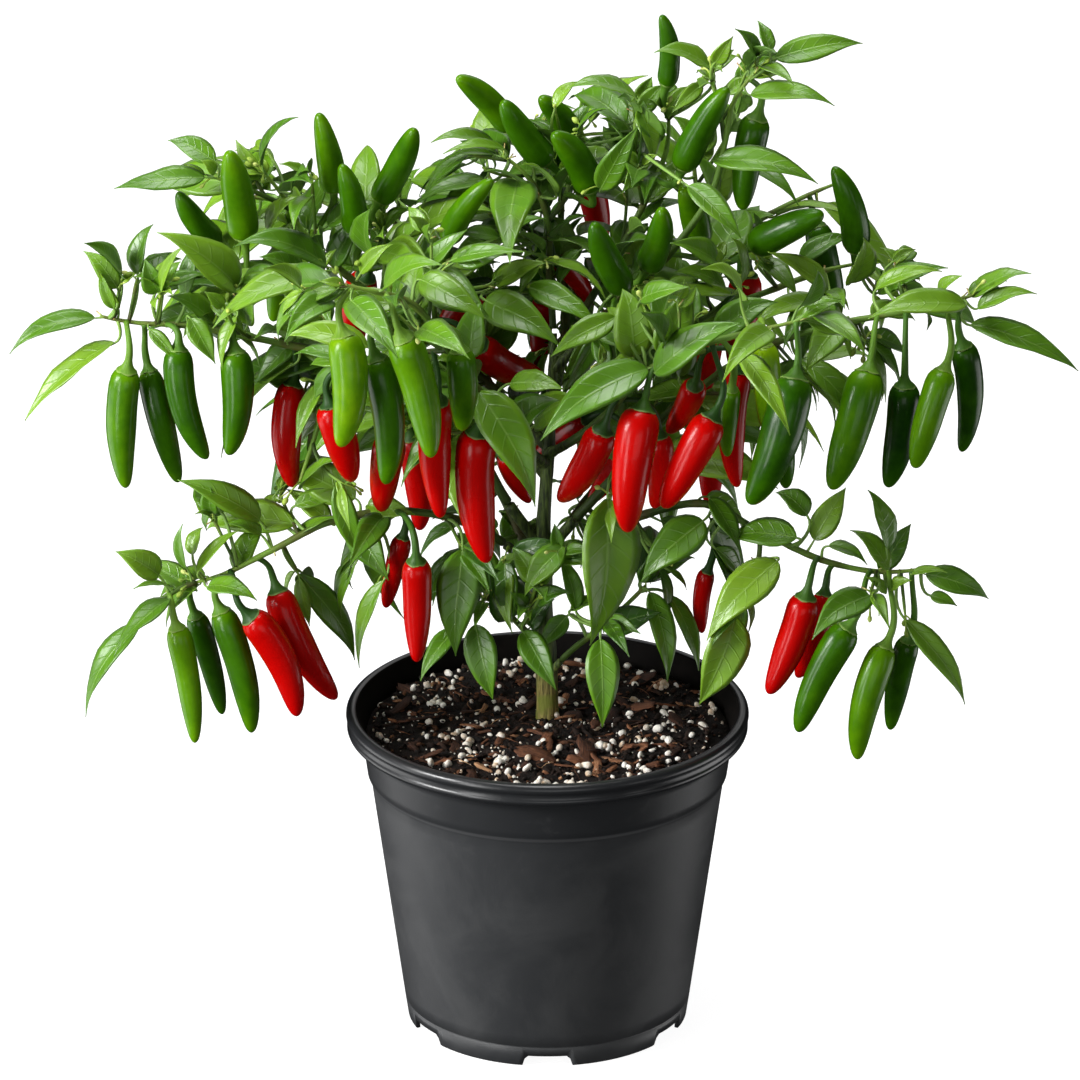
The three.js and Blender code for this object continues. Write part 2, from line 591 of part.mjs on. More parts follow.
// Leaves that stand out on the plant: the blade's foot, its tip and its width
const LEAVES = {
  mid_left: [
    [[-255, -18, 435], [-303, -26, 421], 14], [[-244, -18, 420], [-295, -24, 378], 16],
    [[-240, -10, 456], [-260, -30, 487], 18], [[-231, -8, 457], [-222, 0, 486], 14],
    [[-242, -14, 439], [-252, -24, 468], 9], [[-175, -22, 455], [-219, -38, 498], 24],
    [[-204, -14, 446], [-196, -4, 478], 11], [[-127, -20, 396], [-142, -34, 366], 11],
    [[-111, -10, 381], [-140, 10, 349], 14], [[-140, -20, 332], [-117, -40, 360], 15],
    [[-188, -6, 423], [-163, 14, 397], 13], [[-81, 4, 359], [-111, 24, 336], 14],
  ],
  crown_left: [
    [[-193, 10, 509], [-244, 6, 505], 15], [[-187, 14, 517], [-214, 24, 527], 14],
    [[-161, 24, 511], [-140, 14, 546], 14], [[-125, 2, 459], [-177, -20, 485], 20],
    [[-128, -14, 461], [-188, -40, 442], 19], [[-87, 8, 459], [-66, 0, 491], 17],
    [[-99, -14, 471], [-100, -30, 508], 20], [[-105, -16, 461], [-87, -24, 484], 10],
    [[-70, -8, 459], [-45, -16, 489], 13], [[-57, -12, 462], [-13, -20, 477], 11],
    [[-29, 10, 444], [-1, 0, 464], 13], [[-163, 26, 501], [-176, 38, 522], 9],
    [[-157, 24, 469], [-139, 10, 501], 13], [[-67, -20, 460], [-33, -46, 448], 24],
  ],
  top_mid: [
    [[-30, 58, 510], [-66, 50, 516], 13], [[-24, 60, 506], [-59, 46, 510], 9],
    [[-45, 56, 505], [-68, 46, 487], 12], [[-34, 40, 495], [-75, 30, 486], 15],
    [[-9, 40, 488], [-36, 26, 508], 14], [[5, 44, 486], [-14, 30, 512], 13],
    [[4, 70, 527], [17, 78, 542], 9], [[-27, 30, 462], [-1, 20, 483], 13],
    [[7, 34, 462], [30, 18, 454], 14], [[-35, -4, 440], [7, -30, 426], 22],
  ],
  top_centre: [
    [[50, 44, 544], [12, 40, 555], 16], [[92, 42, 562], [60, 34, 577], 14],
    [[87, 36, 555], [70, 26, 543], 9], [[30, 30, 494], [51, 22, 537], 16],
    [[52, 36, 540], [59, 20, 514], 15], [[17, 30, 527], [36, 24, 547], 9],
    [[79, 12, 502], [109, -10, 479], 17], [[61, 40, 486], [88, 58, 508], 14],
  ],
  top_right: [
    [[128, 14, 579], [177, 20, 590], 15], [[114, 4, 561], [161, -6, 563], 14],
    [[93, 8, 520], [152, -10, 514], 17], [[118, 12, 581], [105, 6, 601], 11],
    [[94, 10, 578], [104, 4, 597], 10], [[119, 10, 576], [138, -8, 572], 10],
    [[125, 14, 583], [118, 26, 598], 9],
  ],
  right_top: [
    [[95, 24, 452], [69, 4, 474], 16], [[101, 20, 437], [72, 2, 458], 15],
    [[104, 10, 438], [48, -12, 439], 11], [[109, 8, 445], [103, -4, 482], 13],
    [[158, 10, 439], [124, -12, 474], 16], [[171, 12, 444], [178, 0, 480], 19],
    [[120, 26, 452], [141, 8, 438], 15], [[143, 40, 446], [172, 54, 457], 13],
    [[187, 16, 437], [226, 2, 459], 15], [[154, 4, 437], [115, -24, 433], 15],
  ],
  mid_right: [
    [[238, -24, 433], [299, -28, 409], 17], [[238, -20, 449], [272, -26, 468], 14],
    [[242, -26, 444], [275, -30, 457], 11], [[235, -28, 447], [180, -44, 446], 18],
    [[168, -28, 439], [145, -44, 415], 19], [[178, 0, 414], [201, 16, 382], 12],
    [[34, -44, 335], [24, -60, 256], 37], [[86, 10, 379], [50, 24, 366], 15],
  ],
  front_left: [
    [[-39, -62, 408], [-7, -84, 353], 27], [[-121, -110, 482], [-146, -140, 473], 17],
    [[-91, -112, 490], [-58, -150, 521], 16], [[-109, -118, 485], [-83, -158, 469], 20],
    [[-138, -104, 486], [-158, -130, 513], 13], [[-71, -106, 463], [-43, -142, 463], 18],
  ],
  front_right: [
    [[56, -80, 429], [-4, -104, 402], 24], [[60, -84, 428], [108, -100, 467], 20],
    [[149, -98, 468], [177, -124, 458], 16], [[141, -96, 473], [150, -122, 509], 15],
    [[108, -92, 475], [85, -124, 510], 17], [[124, -100, 460], [97, -142, 451], 17],
  ],
  low_left: [
    [[-48, -40, 303], [-52, -52, 246], 24], [[-231, -40, 257], [-262, -48, 209], 17],
    [[-141, -10, 275], [-110, 10, 220], 17], [[-199, -36, 276], [-233, -20, 288], 15],
    [[-177, -28, 285], [-160, -12, 308], 14], [[-123, -20, 311], [-148, -4, 326], 13],
    [[-92, -24, 317], [-112, -62, 303], 17], [[-214, -44, 274], [-245, -72, 254], 15],
  ],
  low_right: [
    [[130, -40, 296], [90, -58, 259], 23], [[106, -44, 263], [86, -56, 216], 25],
    [[88, -34, 318], [53, -50, 291], 23], [[141, -30, 306], [101, -20, 304], 19],
    [[182, -60, 283], [149, -86, 271], 19], [[203, -36, 258], [237, -40, 210], 15],
    [[90, -10, 323], [111, 10, 291], 15], [[151, -24, 302], [169, -14, 332], 15],
    [[95, -24, 297], [108, -6, 267], 13], [[214, -36, 286], [250, -30, 272], 15],
    [[188, -28, 285], [206, -14, 309], 13],
  ],
  shoot_left: [
    [[-41, -38, 256], [-31, -48, 215], 19], [[-24, -18, 287], [-20, -32, 252], 15],
    [[-14, -30, 248], [5, -48, 222], 17], [[-6, -34, 280], [-20, -26, 300], 14],
    [[-52, -30, 250], [-72, -46, 226], 12],
  ],
  shoot_right: [
    [[30, -50, 252], [31, -62, 205], 19], [[58, -12, 265], [68, -26, 219], 15],
    [[69, 0, 258], [86, -8, 216], 12], [[16, -30, 262], [6, -18, 292], 12],
    [[53, 0, 268], [84, 20, 276], 13],
  ],
};

// How closely more leaves follow each other along each branch, in mm; where they start; and how
// many stand round the tip of each of its stems
const LEAF_RULES = {
  mid_right: { apart: 70, start: 0.35, whorl: 0 },
  front_left: { apart: 70, start: 0.45, whorl: 0 },
  front_right: { apart: 70, start: 0.45, whorl: 0 },
  back_left: { apart: 34, start: 0.25, whorl: 2 },
  back_right: { apart: 34, start: 0.25, whorl: 2 },
  back_mid: { apart: 34, start: 0.25, whorl: 2 },
  back_low_left: { apart: 30, start: 0.25, whorl: 3 },
  back_low_right: { apart: 30, start: 0.25, whorl: 3 },
};

// What is already on the plant: round bars, and points spread over each blade
const bars = [];
const blades = [];

function barGap(a, b, c, d) {
  const u = b.clone().sub(a);
  const v = d.clone().sub(c);
  const w = a.clone().sub(c);
  const uu = u.dot(u);
  const uv = u.dot(v);
  const vv = v.dot(v);
  const uw = u.dot(w);
  const vw = v.dot(w);
  const clamp = (x) => Math.min(Math.max(x, 0), 1);
  let s = clamp((uv * vw - vv * uw) / Math.max(uu * vv - uv * uv, 1e-9));
  const t = clamp((uv * s + vw) / vv);
  s = clamp((uv * t - uw) / uu);
  return w.addScaledVector(u, s).addScaledVector(v, -t).length();
}

function pointGap(p, a, b) {
  const along = b.clone().sub(a);
  const t = Math.min(Math.max(p.clone().sub(a).dot(along) / along.lengthSq(), 0), 1);
  return along.multiplyScalar(t).add(a).distanceTo(p);
}

// Bars of one branch may meet, but nothing runs through a chilli. Blades keep off every bar.
function barsClear(fresh) {
  return fresh.every((n) => n.a.z > SOIL_TOP + SOIL_SPACE) && fresh.every((n) =>
    bars.every((q) => (q.node === n.node && !q.body && !n.body)
      || barGap(n.a, n.b, q.a, q.b) > n.r + q.r + TOUCH_SPACE)
    && blades.every((blade) => blade.node === n.node
      || blade.points.every((p) => pointGap(p.at, n.a, n.b) > Math.max(n.r + HALF_BLADE, ROD_SPACE))));
}

function bladeClear(points, node) {
  return points.every((p) => {
    const flat = Math.hypot(p.at.x, p.at.y);
    const overRim = flat > RIM_RADIUS - INNER_RIM_SPACE && flat < RIM_RADIUS + RIM_SPACE;
    if (p.at.z < SOIL_TOP + SOIL_SPACE || (p.at.z < POT_HEIGHT + RIM_SPACE && overRim)) return false;
    if (Math.abs(p.at.y) > CANOPY_DEPTH) return false;
    const barsOff = bars.every((q) => {
      if (q.node === node && !q.body) {
        return p.share < STALK_SHARE || pointGap(p.at, q.a, q.b) > q.r + HALF_BLADE;
      }
      return pointGap(p.at, q.a, q.b) > Math.max(q.r + HALF_BLADE, ROD_SPACE);
    });
    return barsOff && blades.every((other) => other.points.every((o) => {
      const ownSpace = p.share < FOOT_SHARE ? 0 : OWN_BLADE_SPACE;
      const space = other.node === node ? ownSpace : BLADE_SPACE;
      return o.at.distanceTo(p.at) > space;
    }));
  });
}

// The nearest point on a branch's own stems, away from the ends of each piece of stem. order spreads
// out the roots that crowd at one tip.
function nearestOnStems(stems, target, order) {
  const inset = ROOT_INSET + ROOT_SPREAD * (order % 4);
  let best = null;
  let least = Infinity;
  stems.forEach((stem) => stem.points.slice(1).forEach((end, i) => {
    const start = stem.points[i];
    const along = end.clone().sub(start);
    const share = target.clone().sub(start).dot(along) / along.lengthSq();
    const t = Math.min(Math.max(share, ROOT_START), 1 - inset / along.length());
    const at = lerp(start, end, t);
    if (at.distanceTo(target) < least) {
      least = at.distanceTo(target);
      best = at;
    }
  }));
  return best;
}

// A blade: a folded strip that arches away from the light. share runs from its foot to its tip.
function bladeOutline(share) {
  return Math.pow(Math.sin(Math.PI * Math.pow(share, BLADE_SKEW)), BLADE_POINT);
}

function makeBlade(foot, tip, width, bend, roll) {
  const chord = tip.clone().sub(foot);
  const reach = chord.length();
  chord.normalize();
  const outward = new THREE.Vector3(foot.x, foot.y - TRUNK_FOOT[1], 0).normalize();
  const light = vec(LIGHT).addScaledVector(outward, LIGHT_SPREAD);
  const up = light.addScaledVector(chord, -light.dot(chord)).normalize();
  up.applyAxisAngle(chord, roll);
  const half = bend / 2;
  return {
    foot,
    width,
    bend,
    length: (reach * half) / Math.sin(half),
    along: chord.clone().multiplyScalar(Math.cos(half)).addScaledVector(up, Math.sin(half)),
    up: up.clone().multiplyScalar(Math.cos(half)).addScaledVector(chord, -Math.sin(half)),
  };
}

function bladeFrame(blade, share) {
  const turn = blade.bend * share;
  const radius = blade.length / blade.bend;
  const at = step(step(blade.foot, blade.along, radius * Math.sin(turn)), blade.up,
    -radius * (1 - Math.cos(turn)));
  const way = blade.along.clone().multiplyScalar(Math.cos(turn)).addScaledVector(blade.up, -Math.sin(turn));
  const up = blade.up.clone().multiplyScalar(Math.cos(turn)).addScaledVector(blade.along, Math.sin(turn));
  return { at, way, up, side: up.clone().cross(way) };
}

function bladePoints(blade) {
  const rows = Math.ceil(blade.length / SAMPLE_STEP);
  const columns = Math.ceil(blade.width / SAMPLE_STEP / 2);
  const points = [];
  for (let i = 1; i <= rows; i++) {
    const share = i / rows;
    const { at, up, side } = bladeFrame(blade, share);
    const half = (blade.width / 2) * bladeOutline(share);
    for (let k = -columns; k <= columns; k++) {
      const out = (half * k) / columns;
      const p = step(step(at, side, out * Math.cos(BLADE_FOLD)), up, Math.abs(out) * Math.sin(BLADE_FOLD));
      points.push({ at: p, share });
    }
  }
  return points;
}

// A leaf's solid: its stalk, from inside the stem, and its blade, with a four-cornered section
function makeLeaf(root, blade) {
  const shares = blade.length < SHORT_BLADE ? SHORT_RINGS : LONG_RINGS;
  const base = bladeFrame(blade, 0);
  const thick = BLADE_THICKNESS / 2;
  const rings = [[
    step(root, base.side, STALK_RADIUS), step(root, base.up, thick),
    step(root, base.side, -STALK_RADIUS), step(root, base.up, -thick),
  ]];
  shares.forEach((share) => {
    const { at, up, side } = bladeFrame(blade, share);
    const half = Math.max(STALK_RADIUS, (blade.width / 2) * bladeOutline(share) * RING_ALLOWANCE);
    const rise = share === 0 ? 0 : half * Math.sin(BLADE_FOLD);
    const out = share === 0 ? half : half * Math.cos(BLADE_FOLD);
    rings.push([
      step(step(at, side, out), up, rise), step(at, up, thick),
      step(step(at, side, -out), up, rise), step(at, up, -thick),
    ]);
  });
  rings.push([bladeFrame(blade, 1).at]);
  return skin(rings);
}

// A chilli bows sideways along its length, and its stalk straightens at the collar of its cap
function chilliPath(neck, tip, bow) {
  return CHILLI_SHARES.map((share) => step(lerp(neck, tip, share), bow, 4 * share * (1 - share)));
}

function stalkPath(root, neck, axis) {
  return [root, step(neck, axis, -CALYX_LENGTH), neck];
}

function chain(points, radii, node, body) {
  return points.slice(1).map((b, i) => ({
    a: points[i], b, r: Math.max(radii[i], radii[i + 1]), node, body,
  }));
}

// Stems first, then chillies, then the leaves that stand out, then the leaves between them
const branches = Object.entries(BRANCHES).map(([name, { split, main, twigs }]) => {
  const route = main.map(vec);
  const first = route[0].distanceTo(route[1]);
  const cut = split / first;
  const trunkEnd = lerp(route[0], route[1], cut);
  const start = lerp(route[0], route[1], cut + GAP / first);
  const length = route.reduce((sum, p, i) => sum + (i ? p.distanceTo(route[i - 1]) : 0), 0);
  const base = STEM_BASE_RADIUS + STEM_THICKENING * length;
  const taper = (i, count) => base - ((base - STEM_TIP_RADIUS) * i) / (count - 1);
  const stems = [{ points: [start, ...route.slice(1)], radii: route.map((_, i) => taper(i, route.length)) }];
  twigs.forEach((twig) => stems.push({
    points: twig.map(vec),
    radii: twig.map((_, i) => TWIG_RADIUS - (TWIG_TAPER * i) / (twig.length - 1)),
  }));
  stems.forEach((stem) => bars.push(...chain(stem.points, stem.radii, name, false)));
  const stub = { points: [route[0], trunkEnd], radii: [base * STUB_FLARE, base] };
  bars.push(...chain(stub.points, stub.radii, "trunk", false));
  return { name, stems, stub, greens: [], leaves: [], caps: [] };
});
const trunkRoute = TRUNK_ROUTE.map(vec);
bars.push(...chain(trunkRoute, TRUNK_RADII, "trunk", false));

const redBodies = [];

branches.forEach((branch) => (CHILLIES[branch.name] ?? []).forEach(([neckAt, tipAt, radius, red], k) => {
  const turn = random(0, 2 * Math.PI);
  const bow = draw(CHILLI_BOW);
  DEPTH_TRIES.some((depth) => {
    const shift = new THREE.Vector3(0, depth, -depth * SIGHT_SLOPE);
    const neck = vec(neckAt).add(shift);
    const tip = vec(tipAt).add(shift);
    const axis = tip.clone().sub(neck).normalize();
    const side = new THREE.Vector3(Math.cos(turn), Math.sin(turn), 0);
    side.addScaledVector(axis, -side.dot(axis)).normalize();
    const body = chilliPath(neck, tip, side.multiplyScalar(bow * neck.distanceTo(tip)));
    const root = nearestOnStems(branch.stems, step(neck, axis, -PEDICEL_REACH), k);
    const stalk = stalkPath(root, neck, axis);
    const bodyRadii = CHILLI_GIRTHS.map((girth) => girth * radius);
    const stalkRadii = [PEDICEL_RADIUS, COLLAR_RADIUS, CAP_GIRTH * radius];
    const slimRadii = [PEDICEL_RADIUS, COLLAR_RADIUS, COLLAR_RADIUS];
    const stalkBars = chain(stalk, slimRadii, branch.name, false);
    const bodyBars = chain(body, bodyRadii, `${branch.name}${k}`, true);
    if (!barsClear(stalkBars.concat(bodyBars))) return false;
    bars.push(...stalkBars, ...bodyBars);
    if (red) {
      branch.caps.push({ stalk, stalkRadii });
      const start = body.map((p, i) => (i === 0 ? step(p, axis, GAP) : p));
      redBodies.push({ name: `red_chilli_${branch.name}_${k + 1}`, body: start, bodyRadii, axis });
    } else {
      const points = stalk.concat(body.slice(1));
      branch.greens.push({ points, radii: stalkRadii.concat(bodyRadii.slice(1)) });
    }
    return true;
  });
}));

function growLeaf(branch, foot, tip, width, bend, roll) {
  const blade = makeBlade(foot, tip, width, bend, roll);
  const points = bladePoints(blade);
  const root = nearestOnStems(branch.stems, foot, branch.leaves.length);
  const stalk = chain([root, foot], [STALK_RADIUS, STALK_RADIUS], branch.name, false);
  if (!bladeClear(points, branch.name) || !barsClear(stalk)) return false;
  bars.push(...stalk);
  blades.push({ points, node: branch.name });
  branch.leaves.push({ root, blade });
  return true;
}

branches.forEach((branch) => (LEAVES[branch.name] ?? []).forEach(([footAt, tipAt, width]) => {
  const bend = draw(BLADE_BEND);
  const roll = draw(BLADE_ROLL);
  TURN_TRIES.some((turn) => DEPTH_TRIES.some((depth) => {
    const shift = new THREE.Vector3(0, depth, -depth * SIGHT_SLOPE);
    return growLeaf(branch, vec(footAt).add(shift), vec(tipAt).add(shift), width, bend, roll + turn);
  }));
}));

// More leaves follow a spiral of the golden angle along each stem and stand round its tip
branches.forEach((branch) => {
  const rule = LEAF_RULES[branch.name];
  if (!rule) return;
  branch.stems.forEach((stem, s) => {
    const lengths = stem.points.slice(1).map((p, i) => p.distanceTo(stem.points[i]));
    const total = lengths.reduce((sum, length) => sum + length, 0);
    const spots = [];
    const start = s === 0 ? rule.start * total : rule.apart / 2;
    for (let run = start; run < total - TIP_REST; run += rule.apart) {
      spots.push({ run, reach: draw(RULE_REACH), lean: RULE_LEAN });
    }
    for (let k = 0; k < rule.whorl; k++) {
      spots.push({ run: total - 1 - WHORL_STEP * k, reach: draw(WHORL_REACH), lean: WHORL_LEAN });
    }
    spots.forEach(({ run, reach, lean }, k) => {
      let i = 0;
      let left = run;
      while (left > lengths[i] && i < lengths.length - 1) {
        left -= lengths[i];
        i += 1;
      }
      const at = lerp(stem.points[i], stem.points[i + 1], left / lengths[i]);
      const way = stem.points[i + 1].clone().sub(stem.points[i]).normalize();
      const turn = k * GOLDEN_ANGLE + draw(RULE_TURN);
      const stalk = draw(RULE_STALK);
      const width = reach * draw(RULE_WIDTH);
      const bend = draw(RULE_BEND);
      const roll = draw(BLADE_ROLL);
      RULE_TURN_TRIES.some((more) => {
        const across = UP.clone().addScaledVector(way, -way.z).normalize();
        across.applyAxisAngle(way, turn + more);
        const heading = across.addScaledVector(way, lean).normalize();
        heading.z -= RULE_DIP;
        heading.normalize();
        const foot = step(at, heading, stalk);
        const tip = step(step(foot, heading, reach), UP, -RULE_DROOP * reach);
        return growLeaf(branch, foot, tip, width, bend, roll);
      });
    });
  });
});

// The nodes
addNode("pot", makePot(), COLOURS.pot);
addNode("soil", makeSoil(), COLOURS.soil);
addNode("trunk", join([
  bar(trunkRoute, TRUNK_RADII, TRUNK_SIDES),
  ...branches.map(({ stub }) => bar(stub.points, stub.radii, STEM_SIDES)),
]), COLOURS.trunk);
branches.forEach((branch) => {
  const solids = branch.stems.map(({ points, radii }) => bar(points, radii, STEM_SIDES));
  solids.push(...branch.greens.map(({ points, radii }) => bar(points, radii, CHILLI_SIDES)));
  solids.push(...branch.caps.map(({ stalk, stalkRadii }) => bar(stalk, stalkRadii, CHILLI_SIDES)));
  solids.push(...branch.leaves.map(({ root, blade }) => makeLeaf(root, blade)));
  addNode(`leafy_branch_${branch.name}`, join(solids), COLOURS.foliage);
});
redBodies.forEach(({ name, body, bodyRadii, axis }) => {
  addNode(name, bar(body, bodyRadii, CHILLI_SIDES, axis), COLOURS.red);
});
export default plant;
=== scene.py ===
from math import ceil, cos, hypot, inf, pi, radians, sin, sqrt

import bmesh
import bpy
import numpy as np
from mathutils import Matrix, Vector, noise
from numpy.linalg import norm


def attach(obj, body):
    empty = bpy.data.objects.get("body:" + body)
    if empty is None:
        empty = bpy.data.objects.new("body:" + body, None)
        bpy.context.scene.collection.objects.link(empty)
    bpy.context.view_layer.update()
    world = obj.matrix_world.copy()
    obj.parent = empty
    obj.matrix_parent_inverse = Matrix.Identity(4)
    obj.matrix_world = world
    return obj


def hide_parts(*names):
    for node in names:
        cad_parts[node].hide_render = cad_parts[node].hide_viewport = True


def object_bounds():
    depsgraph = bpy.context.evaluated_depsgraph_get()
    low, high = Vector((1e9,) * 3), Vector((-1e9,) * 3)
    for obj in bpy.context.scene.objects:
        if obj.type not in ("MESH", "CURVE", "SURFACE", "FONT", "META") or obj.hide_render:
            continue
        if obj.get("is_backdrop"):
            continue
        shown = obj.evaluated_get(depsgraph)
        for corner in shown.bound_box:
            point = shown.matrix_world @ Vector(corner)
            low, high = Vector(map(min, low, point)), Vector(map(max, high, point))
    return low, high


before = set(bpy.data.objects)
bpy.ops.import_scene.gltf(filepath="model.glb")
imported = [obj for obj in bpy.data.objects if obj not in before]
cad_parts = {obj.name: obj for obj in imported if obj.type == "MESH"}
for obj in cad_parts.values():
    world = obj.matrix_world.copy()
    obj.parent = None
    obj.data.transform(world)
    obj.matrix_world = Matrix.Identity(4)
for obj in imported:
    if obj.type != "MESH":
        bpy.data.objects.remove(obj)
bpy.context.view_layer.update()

# The camera looks along +Y with a long lens, tilted down far enough to see the soil behind the
# pot's near rim. Sizes from here on are millimetres and become metres where a mesh is made.
MM = 0.001
PICTURE_WIDTH = 1080
PICTURE_SCALE = 0.568
CAMERA_TILT = radians(22.5)
LENS = 500
SENSOR = 36
AIM = np.array([-4.26, 0, 292.1])
camera_distance = PICTURE_SCALE * PICTURE_WIDTH * LENS / SENSOR
camera_data = bpy.data.cameras.new("camera")
camera_data.lens = LENS
camera_data.sensor_width = SENSOR
camera_data.clip_end = 100
camera = bpy.data.objects.new("camera", camera_data)
camera_back = np.array([0, -cos(CAMERA_TILT), sin(CAMERA_TILT)])
camera.location = (AIM + camera_back * camera_distance) * MM
camera.rotation_euler = (pi / 2 - CAMERA_TILT, 0, 0)
bpy.context.scene.collection.objects.link(camera)
bpy.context.scene.camera = camera


# The pot: one moulded shell of black plastic with a rolled rim, a stacking step, a thin mould line
# low on its wall, six drain holes in its floor and six notches in the foot ring it stands on.
POT_SIDES = 144
POT_HEIGHT = 189
RIM_RADIUS = 115
FOOT_RADIUS = 80
WALL = 1.8
WALL_SPREAD = 24 / 170
STEP_HEIGHT = 148
STEP_RISE = 3
STEP_WIDTH = 1.5
RIM_UNDERSIDE = 176
RIM_WALL = 6.5
UPPER_BEAD = 3.4
LOWER_BEAD = 2.6
BEAD_GROOVE = 0.9
FLOOR_HEIGHT = 8
FLOOR_THICKNESS = 2
FOOT_WALL = 2.8
FOOT_EDGE = 0.8
AXIS_RADIUS = 0.01
MOULD_LINE = 12
NOTCHES = 6
NOTCH_WIDTH = 30
NOTCH_HEIGHT = 6.8
NOTCH_CORNER = 2
NOTCH_REACH = 15
DRAIN_RADIUS = 7
DRAIN_CIRCLE = 58
DRAIN_SIDES = 24


class Value:
    """A shader socket. Sums written on it add Math nodes."""

    def __init__(self, look, socket):
        self.look = look
        self.socket = socket

    def math(self, operation, *others):
        return self.look.node("Math", [self, *others], operation=operation)

    def __add__(self, other):
        return self.math("ADD", other)

    def __sub__(self, other):
        return self.math("SUBTRACT", other)

    def __rsub__(self, other):
        return self.look.node("Math", [other, self], operation="SUBTRACT")

    def __mul__(self, other):
        return self.math("MULTIPLY", other)

    def __pow__(self, other):
        return self.math("POWER", other)

    def __mod__(self, other):
        return self.math("FLOORED_MODULO", other)

    def __abs__(self):
        return self.math("ABSOLUTE")

    __radd__ = __add__
    __rmul__ = __mul__


class Look:
    """A material with one Principled shader, whose sockets are set by name."""

    def __init__(self, name, **sockets):
        self.material = bpy.data.materials.new(name)
        self.material.use_nodes = True
        self.nodes = self.material.node_tree.nodes
        self.shader = self.nodes["Principled BSDF"]
        self.shade(**sockets)

    def put(self, socket, value):
        if isinstance(value, Value):
            self.material.node_tree.links.new(value.socket, socket)
        elif socket.type == "RGBA":
            socket.default_value = (*value, 1) if len(value) == 3 else value
        else:
            socket.default_value = value

    def node(self, kind, values=(), out=0, stops=(), **settings):
        node = self.nodes.new("ShaderNode" + kind)
        for setting, value in settings.items():
            setattr(node, setting, value)
        for k, (place, colour) in enumerate(stops):
            element = node.color_ramp.elements[k] if k < 2 else node.color_ramp.elements.new(place)
            element.position = place
            element.color = (*colour, 1)
        named = values.items() if isinstance(values, dict) else enumerate(values)
        for socket, value in named:
            self.put(node.inputs[socket], value)
        return Value(self, node.outputs[out])

    def place(self):
        return self.node("TexCoord", out="Object")

    def attribute(self, name, out="Fac"):
        return self.node("Attribute", out=out, attribute_name=name)

    def noise(self, scale, detail=2, roughness=0.5, at=None, distortion=0):
        return self.node("TexNoise", {
            "Scale": scale, "Detail": detail, "Roughness": roughness, "Distortion": distortion,
            "Vector": at or self.place(),
        })

    def ramp(self, value, *stops):
        return self.node("ValToRGB", [value], stops=stops)

    def ease(self, value, low, high):
        """Rises softly from 0 where the value is low to 1 where it is high."""
        return self.node("MapRange", [value, low, high], interpolation_type="SMOOTHSTEP")

    def mix(self, share, first, second):
        return self.node("Mix", {0: share, 6: first, 7: second}, out=2, data_type="RGBA")

    def shade(self, bump=None, strength=0.3, depth=0.3, **sockets):
        for socket, value in sockets.items():
            self.put(self.shader.inputs[socket.replace("_", " ")], value)
        if bump is not None:
            values = {"Strength": strength, "Distance": depth * MM, "Height": bump}
            self.put(self.shader.inputs["Normal"], self.node("Bump", values))


def srgb(red, green, blue):
    """A colour as it looks on a screen, from 0 to 255, as the shader's own numbers."""
    return tuple(((c / 255 + 0.055) / 1.055) ** 2.4 if c > 10 else c / 3294.6
                 for c in (red, green, blue))


def turns_round(sides):
    """The angles of so many places spread evenly round a circle."""
    return np.arange(sides) / sides * 2 * pi


class Heap:
    """Collects many lofted or ready solids, with their attributes, for one piece. The attributes
    are numbers or vectors at the mesh's points, which a look reads by name."""

    def __init__(self):
        self.points = []
        self.faces = []
        self.attributes = {}
        self.count = 0

    def add(self, points, faces, **attributes):
        points = np.asarray(points, float)
        self.points.append(points)
        self.faces.extend([[i + self.count for i in face] for face in faces])
        self.count += len(points)
        for key, values in attributes.items():
            values = np.asarray(values, float)
            if values.shape[:1] != (len(points),):
                values = np.broadcast_to(values, (len(points), *values.shape))
            self.attributes.setdefault(key, []).append(values)

    def loft(self, rings, under_from=inf, **attributes):
        """Joins ring to ring. From under_from on, the quads are split the other way, so that a thin
        blade's two faces bend alike."""
        rings = np.asarray(rings, float)
        rows, sides = rings.shape[:2]
        faces = []
        for r in range(rows - 1):
            low, high = r * sides, (r + 1) * sides
            for i in range(sides):
                j = (i + 1) % sides
                quad = [low + i, low + j, high + j, high + i]
                faces.append(quad[1:] + quad[:1] if i >= under_from else quad)
        faces.append(list(range(sides))[::-1])
        faces.append([(rows - 1) * sides + i for i in range(sides)])
        for key, values in attributes.items():
            if np.ndim(values) > 1:
                attributes[key] = np.reshape(values, (-1, *np.shape(values)[2:]))
        self.add(rings.reshape(-1, 3), faces, **attributes)

    def piece(self, name, look, slot, *stands_for):
        """Makes the mesh, fixed to the part's root, and hides the CAD nodes it stands for."""
        mesh = bpy.data.meshes.new(name)
        mesh.from_pydata((np.concatenate(self.points) * MM).tolist(), [], self.faces)
        mesh.polygons.foreach_set("use_smooth", [True] * len(mesh.polygons))
        for key, parts in self.attributes.items():
            values = np.concatenate(parts)
            kind, field = ("FLOAT", "value") if values.ndim == 1 else ("FLOAT_VECTOR", "vector")
            mesh.attributes.new(key, kind, "POINT").data.foreach_set(field, values.ravel())
        mesh.materials.append(look.material)
        mesh.update()
        piece = bpy.data.objects.new(name, mesh)
        bpy.context.scene.collection.objects.link(piece)
        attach(piece, "root")
        if stands_for:
            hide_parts(*stands_for)
        return piece


def wall_radius(height):
    return FOOT_RADIUS + WALL_SPREAD * height


def round_corner(centre, radius, start, end, count):
    """Points on an arc of the half section, from one angle in degrees to another."""
    turns = np.radians(np.linspace(start, end, count))
    return [(centre[0] + radius * cos(t), centre[1] + radius * sin(t)) for t in turns]


